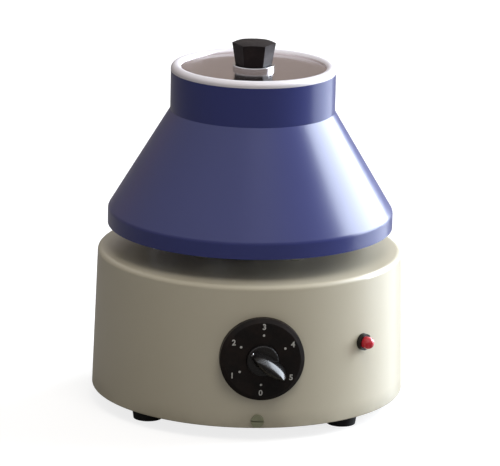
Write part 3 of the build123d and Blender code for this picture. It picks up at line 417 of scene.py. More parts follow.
@dataclass(frozen=True)
class Enamel:
    """Stoved enamel on spun or pressed sheet: faint orange peel, nibs of dust and a low haze.

    Below the foot tint's height, where one is given, it is darkened in blotches towards the foot
    tint. The blotches fade over its reach.
    """

    name: str
    colour: Colour
    shade: Colour
    rough: float = 0.2
    specular: float = 0.5
    clouds: float = 9.0
    mist: float = 900.0
    peel: float = 260.0
    peel_depth: float = 0.00005
    nibs: float = 140.0
    nib_depth: float = 0.00004
    wipes: float = 40.0
    coat: float = 0.0
    coat_rough: float = 0.06
    smudges: float = 30.0
    grime: Colour = tone(120, 110, 88)
    grime_height: float = 0.0
    grime_reach: float = 0.001

    def smudged(self, recipe: Recipe, colour: object) -> bpy.types.NodeSocket:
        """Darkens the foot of the piece towards the foot tint, in blotches.

        Args:
            recipe: the material's nodes.
            colour: the colour's socket above the foot.

        Returns:
            The colour's socket, darkened at the foot.
        """
        # Darker yellow-brown blotches towards the foot, fading upward over the reach.
        top = self.grime_height + self.grime_reach
        low = recipe.span(recipe.part_of(Axis.Z), self.grime_height, top, 1.0, 0.0)
        blotch = recipe.span(recipe.noise(self.smudges, detail=4.0), 0.3, 0.7, 0.0, 0.5)
        return recipe.blend(recipe.work_out(Sum.MULTIPLY, low, blotch), colour, self.grime)

    def material(self) -> bpy.types.Material:
        """Builds the material.

        Returns:
            The material.
        """
        recipe = Recipe(self.name)
        cloud = recipe.noise(self.clouds, detail=3.0, roughness=0.6)
        colour = recipe.mottle(cloud, 0.2, 0.9, 0.6, self.colour, self.shade)
        colour = recipe.mottle(recipe.noise(self.mist), 0.5, 0.9, 0.15, colour, self.shade)
        if self.grime_height:
            colour = self.smudged(recipe, colour)
        nib = recipe.span(recipe.specks(self.nibs), 0.03, 0.06, 1.0, 0.0)
        normal = recipe.bump(recipe.noise(self.peel, detail=1.0), self.peel_depth, 0.5)
        normal = recipe.bump(nib, self.nib_depth, 0.3, normal)
        wipe = recipe.noise(self.wipes, detail=3.0)
        rough = recipe.span(wipe, 0.1, 0.9, self.rough - 0.02, self.rough + 0.03)
        recipe.set(base_color=colour, roughness=rough, normal=normal)
        recipe.set(specular_ior_level=self.specular)
        recipe.set(coat_weight=self.coat, coat_roughness=self.coat_rough)
        return recipe.material


@dataclass(frozen=True)
class TurnedMetal:
    """Metal finished on the lathe: rings about its axis, and a roughness that varies with them.

    Past the rim's reach, where one is given, the metal is satin instead of polished, and it is
    painted a lighter lilac white: a painted highlight of the rim.
    """

    name: str
    colour: Colour
    stain: Colour
    rough: float
    axis: Axis = Axis.Z
    centre: Spot = (0.0, 0.0, 0.0)
    clouds: float = 22.0
    rings: float = 2600.0
    ring_depth: float = 0.000004
    brushed: float = 0.0
    rim_reach: float = 0.0
    rim_edge: float = 0.001
    rim_rough: float = 0.4
    rim_metal: float = 0.4
    rim_colour: Colour = tone(230, 225, 229)

    def material(self) -> bpy.types.Material:
        """Builds the material.

        Returns:
            The material.
        """
        recipe = Recipe(self.name)
        reach = recipe.radius(self.axis, self.centre)
        lines = recipe.line_noise(reach, self.rings)
        along = recipe.line_noise(recipe.part_of(self.axis), self.rings)
        groove = recipe.work_out(Sum.ADD, lines, along)
        cloud = recipe.noise(self.clouds, detail=4.0, roughness=0.6)
        colour = recipe.mottle(cloud, 0.45, 0.8, 0.5, self.colour, self.stain)
        rough = recipe.span(lines, 0.3, 0.7, self.rough * 0.8, self.rough * 1.25)
        if self.rim_reach:
            # Painted highlight: past the rim's reach the colour turns a lighter lilac white, and
            # the metal duller and less metallic.
            rim = recipe.span(reach, self.rim_reach, self.rim_reach + self.rim_edge, 0.0, 1.0)
            colour = recipe.blend(rim, colour, self.rim_colour)
            duller = recipe.work_out(Sum.MULTIPLY, rim, self.rim_rough - self.rough)
            rough = recipe.work_out(Sum.ADD, rough, duller)
            recipe.set(metallic=recipe.span(rim, 0.0, 1.0, 1.0, self.rim_metal))
        else:
            recipe.set(metallic=1.0)
        recipe.set(base_color=colour, roughness=rough, anisotropic=self.brushed)
        recipe.set(normal=recipe.bump(groove, self.ring_depth, 0.6))
        return recipe.material


@dataclass(frozen=True)
class PlatedSteel:
    """Zinc-plated or stamped metal: a fine spangle with dull patches and small scratches."""

    name: str
    colour: Colour
    stain: Colour
    rough: float = 0.35
    patches: float = 60.0
    spangle: float = 420.0
    scratches: float = 300.0
    scratch_stretch: Spot = (1.0, 9.0, 1.0)
    scratch_depth: float = 0.00001

    def material(self) -> bpy.types.Material:
        """Builds the material.

        Returns:
            The material.
        """
        recipe = Recipe(self.name)
        patch = recipe.noise(self.patches, detail=5.0, roughness=0.65)
        colour = recipe.mottle(patch, 0.42, 0.75, 0.7, self.colour, self.stain)
        cell = recipe.specks(self.spangle)
        rough = recipe.span(cell, 0.1, 0.6, self.rough * 0.8, self.rough * 1.3)
        scratch = recipe.noise(self.scratches, at=recipe.mapped(self.scratch_stretch))
        recipe.set(base_color=colour, metallic=1.0, roughness=rough)
        recipe.set(normal=recipe.bump(scratch, self.scratch_depth, 0.5))
        return recipe.material


@dataclass(frozen=True)
class LaminatedSteel:
    """A stack of punched sheets: a line for each sheet along the shaft, with varnish on it."""

    name: str
    colour: Colour
    varnish: Colour
    rough: float = 0.45
    metallic: float = 0.8
    patches: float = 45.0
    sheets: float = 2000.0
    sheet_depth: float = 0.00005

    def material(self) -> bpy.types.Material:
        """Builds the material.

        Returns:
            The material.
        """
        recipe = Recipe(self.name)
        sheet = recipe.ridges(recipe.part_of(Axis.Z), self.sheets)
        patch = recipe.noise(self.patches, detail=4.0)
        colour = recipe.blend(recipe.span(patch, 0.4, 0.7, 0.1, 0.9), self.colour, self.varnish)
        recipe.set(base_color=colour, metallic=self.metallic, roughness=self.rough)
        recipe.set(normal=recipe.bump(sheet, self.sheet_depth, 0.8))
        return recipe.material


@dataclass(frozen=True)
class Moulding:
    """Moulded plastic or phenolic: flow swirls, a fine skin and settled dust."""

    name: str
    colour: Colour
    swirl: Colour
    rough: float
    swirls: float = 70.0
    dust: Colour = tone(150, 145, 138)
    motes: float = 2600.0
    wipes: float = 120.0
    grain: float = 1500.0
    grain_depth: float = 0.00001
    specular: float = 0.5
    coat: float = 0.0
    coat_rough: float = 0.08

    def material(self) -> bpy.types.Material:
        """Builds the material.

        Returns:
            The material.
        """
        recipe = Recipe(self.name)
        flow = recipe.noise(self.swirls, detail=5.0, roughness=0.7)
        colour = recipe.mottle(flow, 0.4, 0.75, 1.0, self.colour, self.swirl)
        motes = recipe.noise(self.motes, detail=1.0)
        colour = recipe.mottle(motes, 0.68, 0.8, 0.15, colour, self.dust)
        wipe = recipe.noise(self.wipes, detail=3.0)
        rough = recipe.span(wipe, 0.3, 0.7, self.rough * 0.85, self.rough * 1.2)
        recipe.set(base_color=colour, roughness=rough, specular_ior_level=self.specular)
        recipe.set(normal=recipe.bump(recipe.noise(self.grain), self.grain_depth, 0.6))
        recipe.set(coat_weight=self.coat, coat_roughness=self.coat_rough)
        return recipe.material


@dataclass(frozen=True)
class Rubber:
    """Black rubber: matt and finely pitted, with a bloom that greys its high places."""

    name: str
    colour: Colour
    bloom: Colour
    rough: float = 0.72
    specular: float = 0.35
    clouds: float = 110.0
    grain: float = 1400.0
    pits: float = 700.0
    pit_depth: float = 0.00004

    def material(self) -> bpy.types.Material:
        """Builds the material.

        Returns:
            The material.
        """
        recipe = Recipe(self.name)
        cloud = recipe.noise(self.clouds, detail=5.0, roughness=0.65)
        colour = recipe.mottle(cloud, 0.45, 0.8, 0.6, self.colour, self.bloom)
        pits = recipe.work_out(Sum.ADD, recipe.noise(self.grain), recipe.specks(self.pits))
        recipe.set(base_color=colour, roughness=self.rough, specular_ior_level=self.specular)
        recipe.set(normal=recipe.bump(pits, self.pit_depth, 0.5))
        return recipe.material


@dataclass(frozen=True)
class Wound:
    """Enamelled wire laid in turns: a round ridge for every turn along one axis.

    Its turns are counted to a metre, and each strays a little to the side.
    """

    name: str
    colour: Colour
    varnish: Colour
    axis: Axis = Axis.Z
    turns: float = 1500.0
    turn_depth: float = 0.00015
    strays: float = 60.0
    stray: float = 0.0012
    rough: float = 0.32
    metallic: float = 0.85

    def material(self) -> bpy.types.Material:
        """Builds the material.

        Returns:
            The material.
        """
        recipe = Recipe(self.name)
        stray = recipe.work_out(Sum.MULTIPLY, recipe.noise(self.strays), self.stray)
        lane = recipe.work_out(Sum.ADD, recipe.part_of(self.axis), stray)
        ridge = recipe.ridges(lane, self.turns)
        gap = recipe.span(ridge, 0.0, 0.5, 0.8, 0.0)
        colour = recipe.blend(gap, self.colour, self.varnish)
        recipe.set(base_color=colour, metallic=self.metallic, roughness=self.rough)
        recipe.set(normal=recipe.bump(ridge, self.turn_depth, 0.9))
        return recipe.material


@dataclass(frozen=True)
class RedLens:
    """Red transparent cap of the pilot lamp, a little uneven inside, and faintly lit."""

    name: str
    colour: Colour
    streak: Colour = tone(232, 92, 100)
    glow: Colour = tone(200, 30, 46)
    glow_strength: float = 0.1
    rough: float = 0.12
    clear: float = 0.35
    ior: float = 1.49
    coat: float = 0.5
    coat_rough: float = 0.05
    streaks: float = 500.0
    waves: float = 700.0
    wave_depth: float = 0.00003

    def material(self) -> bpy.types.Material:
        """Builds the material.

        Returns:
            The material.
        """
        recipe = Recipe(self.name)
        cloud = recipe.noise(self.streaks)
        colour = recipe.mottle(cloud, 0.4, 0.8, 0.5, self.colour, self.streak)
        waves = recipe.noise(self.waves, detail=1.0)
        recipe.set(base_color=colour, roughness=self.rough)
        recipe.set(transmission_weight=self.clear, ior=self.ior)
        recipe.set(emission_color=self.glow, emission_strength=self.glow_strength)
        recipe.set(normal=recipe.bump(waves, self.wave_depth, 0.4))
        recipe.set(coat_weight=self.coat, coat_roughness=self.coat_rough)
        return recipe.material


@dataclass(frozen=True)
class Ink:
    """Filled white paint of the dial's figures, worn thin in places."""

    name: str
    colour: Colour
    worn: Colour
    rough: float = 0.5
    wear: float = 700.0
    grain: float = 2500.0
    grain_depth: float = 0.00001

    def material(self) -> bpy.types.Material:
        """Builds the material.

        Returns:
            The material.
        """
        recipe = Recipe(self.name)
        wear = recipe.noise(self.wear, detail=4.0, roughness=0.7)
        colour = recipe.mottle(wear, 0.5, 0.75, 0.7, self.colour, self.worn)
        recipe.set(base_color=colour, roughness=self.rough)
        recipe.set(normal=recipe.bump(recipe.noise(self.grain), self.grain_depth, 0.5))
        return recipe.material


# The cream darkens in yellow-brown blotches over its lowest 10 mm, fading over 12 mm more.
CREAM_ENAMEL = Enamel(
    "cream_enamel", tone(190, 182, 162), tone(184, 175, 152), rough=0.36, peel=210.0,
    grime_height=0.010, grime_reach=0.012, coat=0.06,
)
BLUE_ENAMEL = Enamel(
    "blue_enamel", tone(45, 52, 112), tone(40, 46, 100), rough=0.3, specular=0.45, peel=240.0,
    peel_depth=0.00003, coat=0.35, coat_rough=0.2,
)
SCREW_PAINT = Enamel("screw_paint", tone(140, 140, 112), tone(108, 112, 88), rough=0.35)
# Past 53.2 mm from the shaft, the lid's rolled rim carries a painted highlight in lighter lilac
# white.
POLISHED_ALUMINIUM = TurnedMetal(
    "polished_aluminium", tone(214, 206, 207), tone(196, 188, 189), 0.16, rings=1800.0,
    brushed=0.2, rim_reach=0.0532,
)
TURNED_ALUMINIUM = TurnedMetal(
    "turned_aluminium", tone(206, 207, 208), tone(178, 180, 184), 0.32, ring_depth=0.000008
)
BRIGHT_STEEL = TurnedMetal("bright_steel", tone(208, 208, 210), tone(186, 186, 190), 0.16)
DIAL_STEEL = TurnedMetal(
    "dial_steel", tone(208, 208, 210), tone(186, 186, 190), 0.18, Axis.Y, (0.0, 0.0, DIAL_HEIGHT)
)
DIAL_BRASS = TurnedMetal(
    "dial_brass", tone(206, 178, 112), tone(172, 138, 78), 0.26, Axis.Y, (0.0, 0.0, DIAL_HEIGHT)
)
BRASS = TurnedMetal("brass", tone(206, 178, 112), tone(166, 132, 74), 0.3)
COMMUTATOR_COPPER = TurnedMetal(
    "commutator_copper", tone(206, 134, 96), tone(150, 88, 62), 0.28, rings=5200.0
)
ZINC_STEEL = PlatedSteel("zinc_steel", tone(186, 188, 190), tone(150, 152, 150))
LAMINATIONS = LaminatedSteel("laminations", tone(120, 120, 126), tone(86, 78, 70))
BLACK_PHENOLIC = Moulding(
    "black_phenolic", tone(20, 18, 18), tone(30, 25, 23), 0.24, grain=800.0, specular=0.35
)
DIAL_PHENOLIC = Moulding(
    "dial_phenolic", tone(21, 18, 17), tone(36, 27, 23), 0.42, grain=900.0, specular=0.15
)
KNOB_PHENOLIC = Moulding(
    "knob_phenolic", tone(17, 16, 16), tone(24, 21, 20), 0.26, grain=500.0, specular=0.4,
    coat=0.15,
)
CLAMP_PHENOLIC = Moulding(
    "clamp_phenolic", tone(26, 21, 21), tone(38, 31, 30), 0.48, grain=700.0, specular=0.10
)
BLACK_MOULDING = Moulding(
    "black_moulding", tone(30, 30, 31), tone(42, 42, 42), 0.5, grain=1800.0, grain_depth=0.00003
)
GREY_NYLON = Moulding("grey_nylon", tone(202, 199, 190), tone(186, 182, 170), 0.45)
CARBON = Moulding("carbon", tone(46, 46, 50), tone(66, 66, 70), 0.4, grain=2400.0)
BLACK_RUBBER = Rubber("black_rubber", tone(30, 30, 30), tone(66, 64, 62))
COPPER_COILS = Wound("copper_coils", tone(190, 104, 58), tone(84, 34, 18))
RESISTANCE_WIRE = Wound(
    "resistance_wire", tone(150, 142, 130), tone(80, 70, 60), axis=Axis.X, turns=1300.0
)
LAMP_RED = RedLens("lamp_red", tone(196, 24, 44))
DIAL_INK = Ink("dial_ink", tone(188, 186, 180), tone(108, 104, 100))


@dataclass
class Workshop:
    """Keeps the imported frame, dresses its nodes and takes new pieces into their bodies."""

    frame: dict
    made: dict[str, bpy.types.Material] = field(default_factory=dict)

    def material(self, finish: Finish) -> bpy.types.Material:
        """Gives the material of a finish, which is built once.

        Args:
            finish: the finish.

        Returns:
            Its material.
        """
        if finish.name not in self.made:
            self.made[finish.name] = finish.material()
        return self.made[finish.name]

    def dress(self, finish: Finish, *nodes: str) -> None:
        """Gives CAD nodes their finish.

        Args:
            finish: what they are finished in.
            nodes: the nodes' names.
        """
        for node in nodes:
            piece = self.frame["nodes"][node]
            for slot in piece.material_slots:
                slot.material = self.material(finish)
            LOG.info("%s: %s", node, finish.name)

    def take(self, piece: bpy.types.Object, finish: Finish, body: str) -> None:
        """Finishes a new piece: its place goes into its mesh, and it rides on its body.

        Args:
            piece: the new mesh object.
            finish: what it is finished in.
            body: the CAD body that carries it.
        """
        pick(piece)
        bpy.ops.object.transform_apply(location=True, rotation=True, scale=True)
        piece.data.materials.clear()
        piece.data.materials.append(self.material(finish))
        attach(piece, body)
        LOG.info("%s: %s, rides on %s", piece.name, finish.name, body)


def deselect() -> None:
    """Leaves edit mode and deselects every object."""
    if bpy.context.object and bpy.context.object.mode != "OBJECT":
        bpy.ops.object.mode_set(mode="OBJECT")
    bpy.ops.object.select_all(action="DESELECT")


def pick(*pieces: bpy.types.Object) -> None:
    """Selects pieces alone, and makes the first one active.

    Args:
        pieces: the pieces.
    """
    deselect()
    for piece in pieces:
        piece.select_set(True)
    bpy.context.view_layer.objects.active = pieces[0]


def choose_faces(piece: bpy.types.Object, test: Callable[[bpy.types.MeshPolygon], bool]) -> None:
    """Selects some faces of a piece, and goes into edit mode on them.

    Args:
        piece: the mesh.
        test: says whether a face is selected.
    """
    pick(piece)
    bpy.ops.object.mode_set(mode="EDIT")
    bpy.ops.mesh.select_mode(type="FACE")
    bpy.ops.mesh.select_all(action="DESELECT")
    bpy.ops.object.mode_set(mode="OBJECT")
    for face in piece.data.polygons:
        face.select = test(face)
    bpy.ops.object.mode_set(mode="EDIT")


def shape(piece: bpy.types.Object, kind: str, **settings: object) -> None:
    """Adds a modifier with its settings to the active piece, and applies it.

    Args:
        piece: the mesh, which is the active object.
        kind: the modifier's type.
        settings: the modifier's own settings.
    """
    modifier = piece.modifiers.new(kind.lower(), kind)
    for key, value in settings.items():
        setattr(modifier, key, value)
    bpy.ops.object.modifier_apply(modifier=modifier.name)


def join(pieces: Sequence[bpy.types.Object], name: str) -> bpy.types.Object:
    """Joins meshes into one piece.

    Args:
        pieces: the meshes.
        name: what the piece is called.

    Returns:
        The joined piece.
    """
    pick(*pieces)
    bpy.ops.object.join()
    pieces[0].name = name
    return pieces[0]


@dataclass
class MotorBase:
    """The cream drum with its feet, pan and screws, and the motor inside it."""

    shop: Workshop

    def dress(self) -> None:
        """Finishes the base's nodes."""
        shop = self.shop
        shop.dress(CREAM_ENAMEL, "base_housing")
        shop.dress(SCREW_PAINT, "housing_screws")
        shop.dress(ZINC_STEEL, "bottom_pan", "foot_screws", "foot_nuts", "motor_mount_screws")
        shop.dress(ZINC_STEEL, "motor_mount_nuts", "motor_through_bolts", "motor_bolt_nuts")
        shop.dress(BLACK_RUBBER, "rubber_feet", "motor_mounts", "shaft_boot")
        shop.dress(TURNED_ALUMINIUM, "motor_lower_bracket", "motor_upper_bracket", "cooling_fan")
        shop.dress(LAMINATIONS, "stator_core", "armature_core")
        shop.dress(COPPER_COILS, "field_coils", "armature_windings")
        shop.dress(COMMUTATOR_COPPER, "commutator")
        shop.dress(BRIGHT_STEEL, "bearing_outer_races", "bearing_inner_races", "motor_shaft")
        shop.dress(BRIGHT_STEEL, "brush_springs")
        shop.dress(BRASS, "brush_holders")
        shop.dress(BLACK_MOULDING, "brush_insulators", "brush_caps")
        shop.dress(CARBON, "carbon_brushes")
        shop.dress(GREY_NYLON, "terminal_block")


@dataclass
class SpeedDial:
    """The black dial with its figures and dots, and the regulator behind it.

    Figures and dots stand a step of degrees apart, clockwise from the 0 near the bottom.
    """

    shop: Workshop
    height: float = DIAL_HEIGHT
    figure_reach: float = 0.0246
    dot_reach: float = 0.0184
    figure_size: float = 0.0058
    figure_swell: float = 0.012
    figure_depth: float = 0.00015
    figure_curves: int = 6
    dot_radius: float = 0.0009
    dot_corners: int = 20
    zero_turn: float = 182.0
    step: float = 60.0
    figures: int = 6

    def spot(self, index: int, reach: float) -> Vector:
        """Gives the place of one mark on the dial's face.

        Args:
            index: the figure.
            reach: its distance from the dial's centre.

        Returns:
            The point on the face.
        """
        turn = math.radians(self.zero_turn + self.step * index)
        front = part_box("dial_plate")[0].y
        return Vector((math.sin(turn) * reach, front, self.height + math.cos(turn) * reach))

    def figure(self, index: int) -> bpy.types.Object:
        """Models one upright figure of the dial.

        Args:
            index: the figure.

        Returns:
            Its mesh, in place.
        """
        deselect()
        bpy.ops.object.text_add(location=(0, 0, 0))
        text = bpy.context.object
        text.data.body = str(index)
        text.data.size = self.figure_size
        text.data.align_x = "CENTER"
        text.data.align_y = "CENTER"
        text.data.extrude = self.figure_depth
        text.data.bevel_depth = self.figure_depth / 3
        text.data.offset = self.figure_size * self.figure_swell
        text.data.resolution_u = self.figure_curves
        bpy.ops.object.convert(target="MESH")
        text = bpy.context.object
        text.location = self.spot(index, self.figure_reach)
        text.rotation_euler = (QUARTER_TURN, 0, 0)
        return text

    def dot(self, index: int) -> bpy.types.Object:
        """Models one dot of the dial: a small crowned button.

        Args:
            index: the figure that it belongs to.

        Returns:
            Its mesh, in place.
        """
        deselect()
        bpy.ops.mesh.primitive_cylinder_add(
            vertices=self.dot_corners, radius=self.dot_radius, depth=2 * self.figure_depth,
            location=self.spot(index, self.dot_reach), rotation=(QUARTER_TURN, 0, 0),
        )
        dot = bpy.context.object
        shape(dot, "BEVEL", width=self.figure_depth, segments=2)
        return dot

    def build(self) -> None:
        """Models the dial's markings."""
        figures = [self.figure(index) for index in range(self.figures)]
        self.shop.take(join(figures, "dial_figures"), DIAL_INK, "base")
        dots = [self.dot(index) for index in range(self.figures)]
        self.shop.take(join(dots, "dial_dots"), DIAL_INK, "base")

    def dress(self) -> None:
        """Finishes the dial's and the regulator's nodes."""
        shop = self.shop
        shop.dress(DIAL_PHENOLIC, "dial_plate")
        shop.dress(DIAL_BRASS, "regulator_bushing", "regulator_spindle", "regulator_wiper")
        shop.dress(DIAL_STEEL, "regulator_nut", "knob_grub_screw")
        shop.dress(BLACK_MOULDING, "regulator_body")
        shop.dress(RESISTANCE_WIRE, "regulator_winding")


@dataclass
class PointerKnob:
    """The pointer knob on the regulator: a round skirt under an almond-shaped, ridged bar.

    It is modelled with its back on the XY plane and its tip towards +Y, and then set in place.
    Each level of the bar is its height, its half width and its half length. Angles are in
    degrees, and at rest the tip has turned clockwise from the top by the rest turn.
    """

    shop: Workshop
    height: float = DIAL_HEIGHT
    rest_turn: float = 125.0
    skirt_radius: float = 0.0125
    skirt_top_radius: float = 0.0112
    skirt_height: float = 0.0058
    skirt_edge: float = 0.0008
    edge_angle: float = 40.0
    edge_segments: int = 4
    bar_shift: float = 0.0050
    bar_levels: tuple[Spot, ...] = (
        (0.0020, 0.0068, 0.0149),
        (0.0132, 0.0051, 0.0141),
        (0.0144, 0.0048, 0.0139),
        (0.0154, 0.0043, 0.0136),
        (0.0190, 0.0016, 0.0123),
        (0.0195, 0.0010, 0.0120),
        (0.0198, 0.0003, 0.0116),
    )
    corners: int = 56
    smooth_angle: float = 32.0

    def skirt(self) -> bpy.types.Object:
        """Models the tapered skirt, with its upper edge rounded.

        Returns:
            Its mesh.
        """
        deselect()
        bpy.ops.mesh.primitive_cylinder_add(
            vertices=2 * self.corners, radius=self.skirt_radius, depth=self.skirt_height,
            location=(0, 0, self.skirt_height / 2),
        )
        skirt = bpy.context.object
        choose_faces(skirt, lambda face: face.normal.z > 0.9)
        share = self.skirt_top_radius / self.skirt_radius
        top = (0, 0, self.skirt_height)
        bpy.ops.transform.resize(value=(share, share, 1), center_override=top)
        bpy.ops.object.mode_set(mode="OBJECT")
        shape(
            skirt, "BEVEL", width=self.skirt_edge, segments=self.edge_segments,
            angle_limit=math.radians(self.edge_angle),
        )
        return skirt

    def bar(self) -> bpy.types.Object:
        """Models the bar: an oval pulled up level by level to a narrow ridge.

        Returns:
            Its mesh.
        """
        deselect()
        bpy.ops.mesh.primitive_circle_add(vertices=self.corners, radius=1.0, fill_type="NGON")
        bar = bpy.context.object
        height, half_width, half_length = self.bar_levels[0]
        bpy.ops.object.mode_set(mode="EDIT")
        bpy.ops.mesh.select_all(action="SELECT")
        bpy.ops.transform.resize(value=(half_width, half_length, 1), center_override=(0, 0, 0))
        bpy.ops.transform.translate(value=(0, self.bar_shift, height))
        for level, width, length in self.bar_levels[1:]:
            bpy.ops.mesh.extrude_region_move(
                TRANSFORM_OT_translate={"value": (0, 0, level - height)}
            )
            bpy.ops.transform.resize(
                value=(width / half_width, length / half_length, 1),
                center_override=(0, self.bar_shift, level),
            )
            height, half_width, half_length = level, width, length
        bpy.ops.mesh.select_all(action="SELECT")
        bpy.ops.mesh.normals_make_consistent(inside=False)
        bpy.ops.object.mode_set(mode="OBJECT")
        return bar

    def build(self) -> None:
        """Joins skirt and bar, and sets the knob on its spindle."""
        knob, bar = self.skirt(), self.bar()
        pick(knob)
        shape(knob, "BOOLEAN", operation="UNION", object=bar, solver="EXACT")
        bpy.data.objects.remove(bar)
        knob.name = "pointer_knob_moulding"
        bpy.ops.object.shade_smooth_by_angle(angle=math.radians(self.smooth_angle))
        turn = math.radians(self.rest_turn)
        across = Vector((math.cos(turn), 0, -math.sin(turn)))
        tip = Vector((math.sin(turn), 0, math.cos(turn)))
        out = Vector((0, -1, 0))
        back = Vector((0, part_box("pointer_knob")[1].y, self.height))
        axes = Matrix((across, tip, out)).transposed().to_4x4()
        knob.matrix_world = Matrix.Translation(back) @ axes
        self.shop.take(knob, KNOB_PHENOLIC, "pointer")
        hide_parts("pointer_knob")


@dataclass
class PilotLamp:
    """The red lamp at the right of the dial."""

    shop: Workshop

    def dress(self) -> None:
        """Finishes the lamp's nodes."""
        self.shop.dress(BLACK_PHENOLIC, "lamp_bezel")
        self.shop.dress(LAMP_RED, "lamp_lens")
        self.shop.dress(GREY_NYLON, "lamp_body")
        self.shop.dress(ZINC_STEEL, "lamp_nut")


@dataclass
class CordGland:
    """The gland at the back, which takes the mains cord."""

    shop: Workshop

    def dress(self) -> None:
        """Finishes the gland's nodes."""
        self.shop.dress(BLACK_MOULDING, "gland_body", "gland_cap", "gland_lock_nut")
        self.shop.dress(BLACK_RUBBER, "gland_seal")


@dataclass
class AngleHead:
    """The spinning head: wind shield, carrier, sleeves and hub."""

    shop: Workshop

    def dress(self) -> None:
        """Finishes the head's nodes."""
        shop = self.shop
        shop.dress(BLUE_ENAMEL, "wind_shield")
        shop.dress(TURNED_ALUMINIUM, "head_hub", "sleeve_carrier")
        shop.dress(BRIGHT_STEEL, "tube_sleeves")
        shop.dress(BLACK_RUBBER, "sleeve_cushions")
        shop.dress(ZINC_STEEL, "carrier_nut")


@dataclass
class Lid:
    """The dished lid with its clamp knob."""

    shop: Workshop

    def dress(self) -> None:
        """Finishes the lid's and the clamp's nodes."""
        self.shop.dress(POLISHED_ALUMINIUM, "lid")
        self.shop.dress(BRIGHT_STEEL, "lid_ring", "clamp_stud")
        self.shop.dress(CLAMP_PHENOLIC, "clamp_knob")


@dataclass(frozen=True)
class SoftLamp:
    """A soft area lamp of the studio, which the camera doesn't see.

    It stands at an azimuth in degrees, a reach from the shaft and a height, and faces the shaft
    at its aim's height. Its size is its width and its height, and its power is in watts.
    """

    name: str
    azimuth: float
    reach: float
    height: float
    aim: float
    size: tuple[float, float]
    power: float
    colour: Spot
    glossy: bool = True

    def build(self) -> None:
        """Makes the lamp."""
        deselect()
        spot = polar(self.azimuth, self.reach, self.height)
        bpy.ops.object.light_add(type="AREA", location=spot)
        lamp = bpy.context.object
        lamp.name = self.name
        ahead = Vector((0, 0, self.aim)) - spot
        lamp.rotation_euler = ahead.to_track_quat("-Z", "Y").to_euler()
        lamp.data.shape = "RECTANGLE"
        lamp.data.size, lamp.data.size_y = self.size
        lamp.data.energy = self.power
        lamp.data.color = self.colour
        lamp.visible_camera = False
        lamp.visible_glossy = self.glossy


@dataclass(frozen=True)
class Viewpoint:
    """The camera at the photograph's place.

    The aim is a height on the shaft. The middle of the picture lies off_right and off_down
    pixels from it, and the camera leans to its left by its roll. Angles are in degrees.
    """

    azimuth: float = -5.4
    elevation: float = 14.4
    distance: float = 3.0
    aim: float = 0.1408
    focal_pixels: float = 4052.0
    frame_pixels: float = 500.0
    sensor: float = 36.0
    roll: float = 1.3
    off_right: float = 0.2
    off_down: float = 20.3
    clip_end: float = 60.0

    def build(self) -> None:
        """Makes the camera and hands it to the scene."""
        deselect()
        bpy.ops.object.camera_add()
        camera = bpy.context.object
        rise = math.radians(self.elevation)
        height = self.aim + math.sin(rise) * self.distance
        spot = polar(self.azimuth, math.cos(rise) * self.distance, height)
        ahead = (Vector((0, 0, self.aim)) - spot).normalized()
        right = ahead.cross(Vector((0, 0, 1))).normalized()
        down = ahead.cross(right)
        ahead += (right * self.off_right + down * self.off_down) / self.focal_pixels
        ahead.normalize()
        level = ahead.cross(Vector((0, 0, 1))).normalized()
        upright = level.cross(ahead)
        lean = math.radians(self.roll)
        right = level * math.cos(lean) + upright * math.sin(lean)
        up = upright * math.cos(lean) - level * math.sin(lean)
        turn = Matrix((right, up, -ahead)).transposed()
        camera.matrix_world = Matrix.Translation(spot) @ turn.to_4x4()
        camera.data.sensor_width = self.sensor
        camera.data.lens = self.focal_pixels / self.frame_pixels * self.sensor
        camera.data.clip_end = self.clip_end
        bpy.context.scene.camera = camera


@dataclass(frozen=True)
class PaleFloor:
    """The pale floor: matt and near white to the camera, darker and polished to the gloss."""

    size: float = 12.0
    colour: Colour = tone(150, 148, 146)
    gloss_colour: Colour = tone(98, 94, 90)
    rough: float = 0.9
    specular: float = 0.1
    glow: float = 0.80
    polish_rough: float = 0.25
    polish_ior: float = 1.5

    def material(self) -> bpy.types.Material:
        """Builds the floor's material.

        Returns:
            The material.
        """
        recipe = Recipe("pale_floor")
        nodes = recipe.tree.nodes
        seen = nodes.new("ShaderNodeLightPath").outputs
        pale = recipe.blend(seen["Is Glossy Ray"], self.colour, self.gloss_colour)
        recipe.set(base_color=pale, roughness=self.rough, specular_ior_level=self.specular)
        glow = nodes.new("ShaderNodeEmission")
        glow.inputs["Color"].default_value = (1, 1, 1, 1)
        strength = recipe.work_out(Sum.MULTIPLY, seen["Is Camera Ray"], self.glow)
        recipe.put(glow.inputs["Strength"], strength)
        matt = nodes.new("ShaderNodeAddShader")
        recipe.put(matt.inputs[0], recipe.shader.outputs["BSDF"])
        recipe.put(matt.inputs[1], glow.outputs["Emission"])
        polish = nodes.new("ShaderNodeBsdfGlossy")
        polish.inputs["Roughness"].default_value = self.polish_rough
        facing = nodes.new("ShaderNodeFresnel")
        facing.inputs["IOR"].default_value = self.polish_ior
        share = recipe.work_out(Sum.MULTIPLY, seen["Is Glossy Ray"], facing.outputs["Fac"])
        whole = recipe.mixed(share, matt.outputs["Shader"], polish.outputs["BSDF"])
        recipe.put(recipe.output.inputs["Surface"], whole)
        return recipe.material

    def build(self) -> None:
        """Lays the floor."""
        deselect()
        bpy.ops.mesh.primitive_plane_add(size=self.size, location=(0, 0, 0))
        floor = bpy.context.object
        floor.name = "floor"
        floor.data.materials.append(self.material())


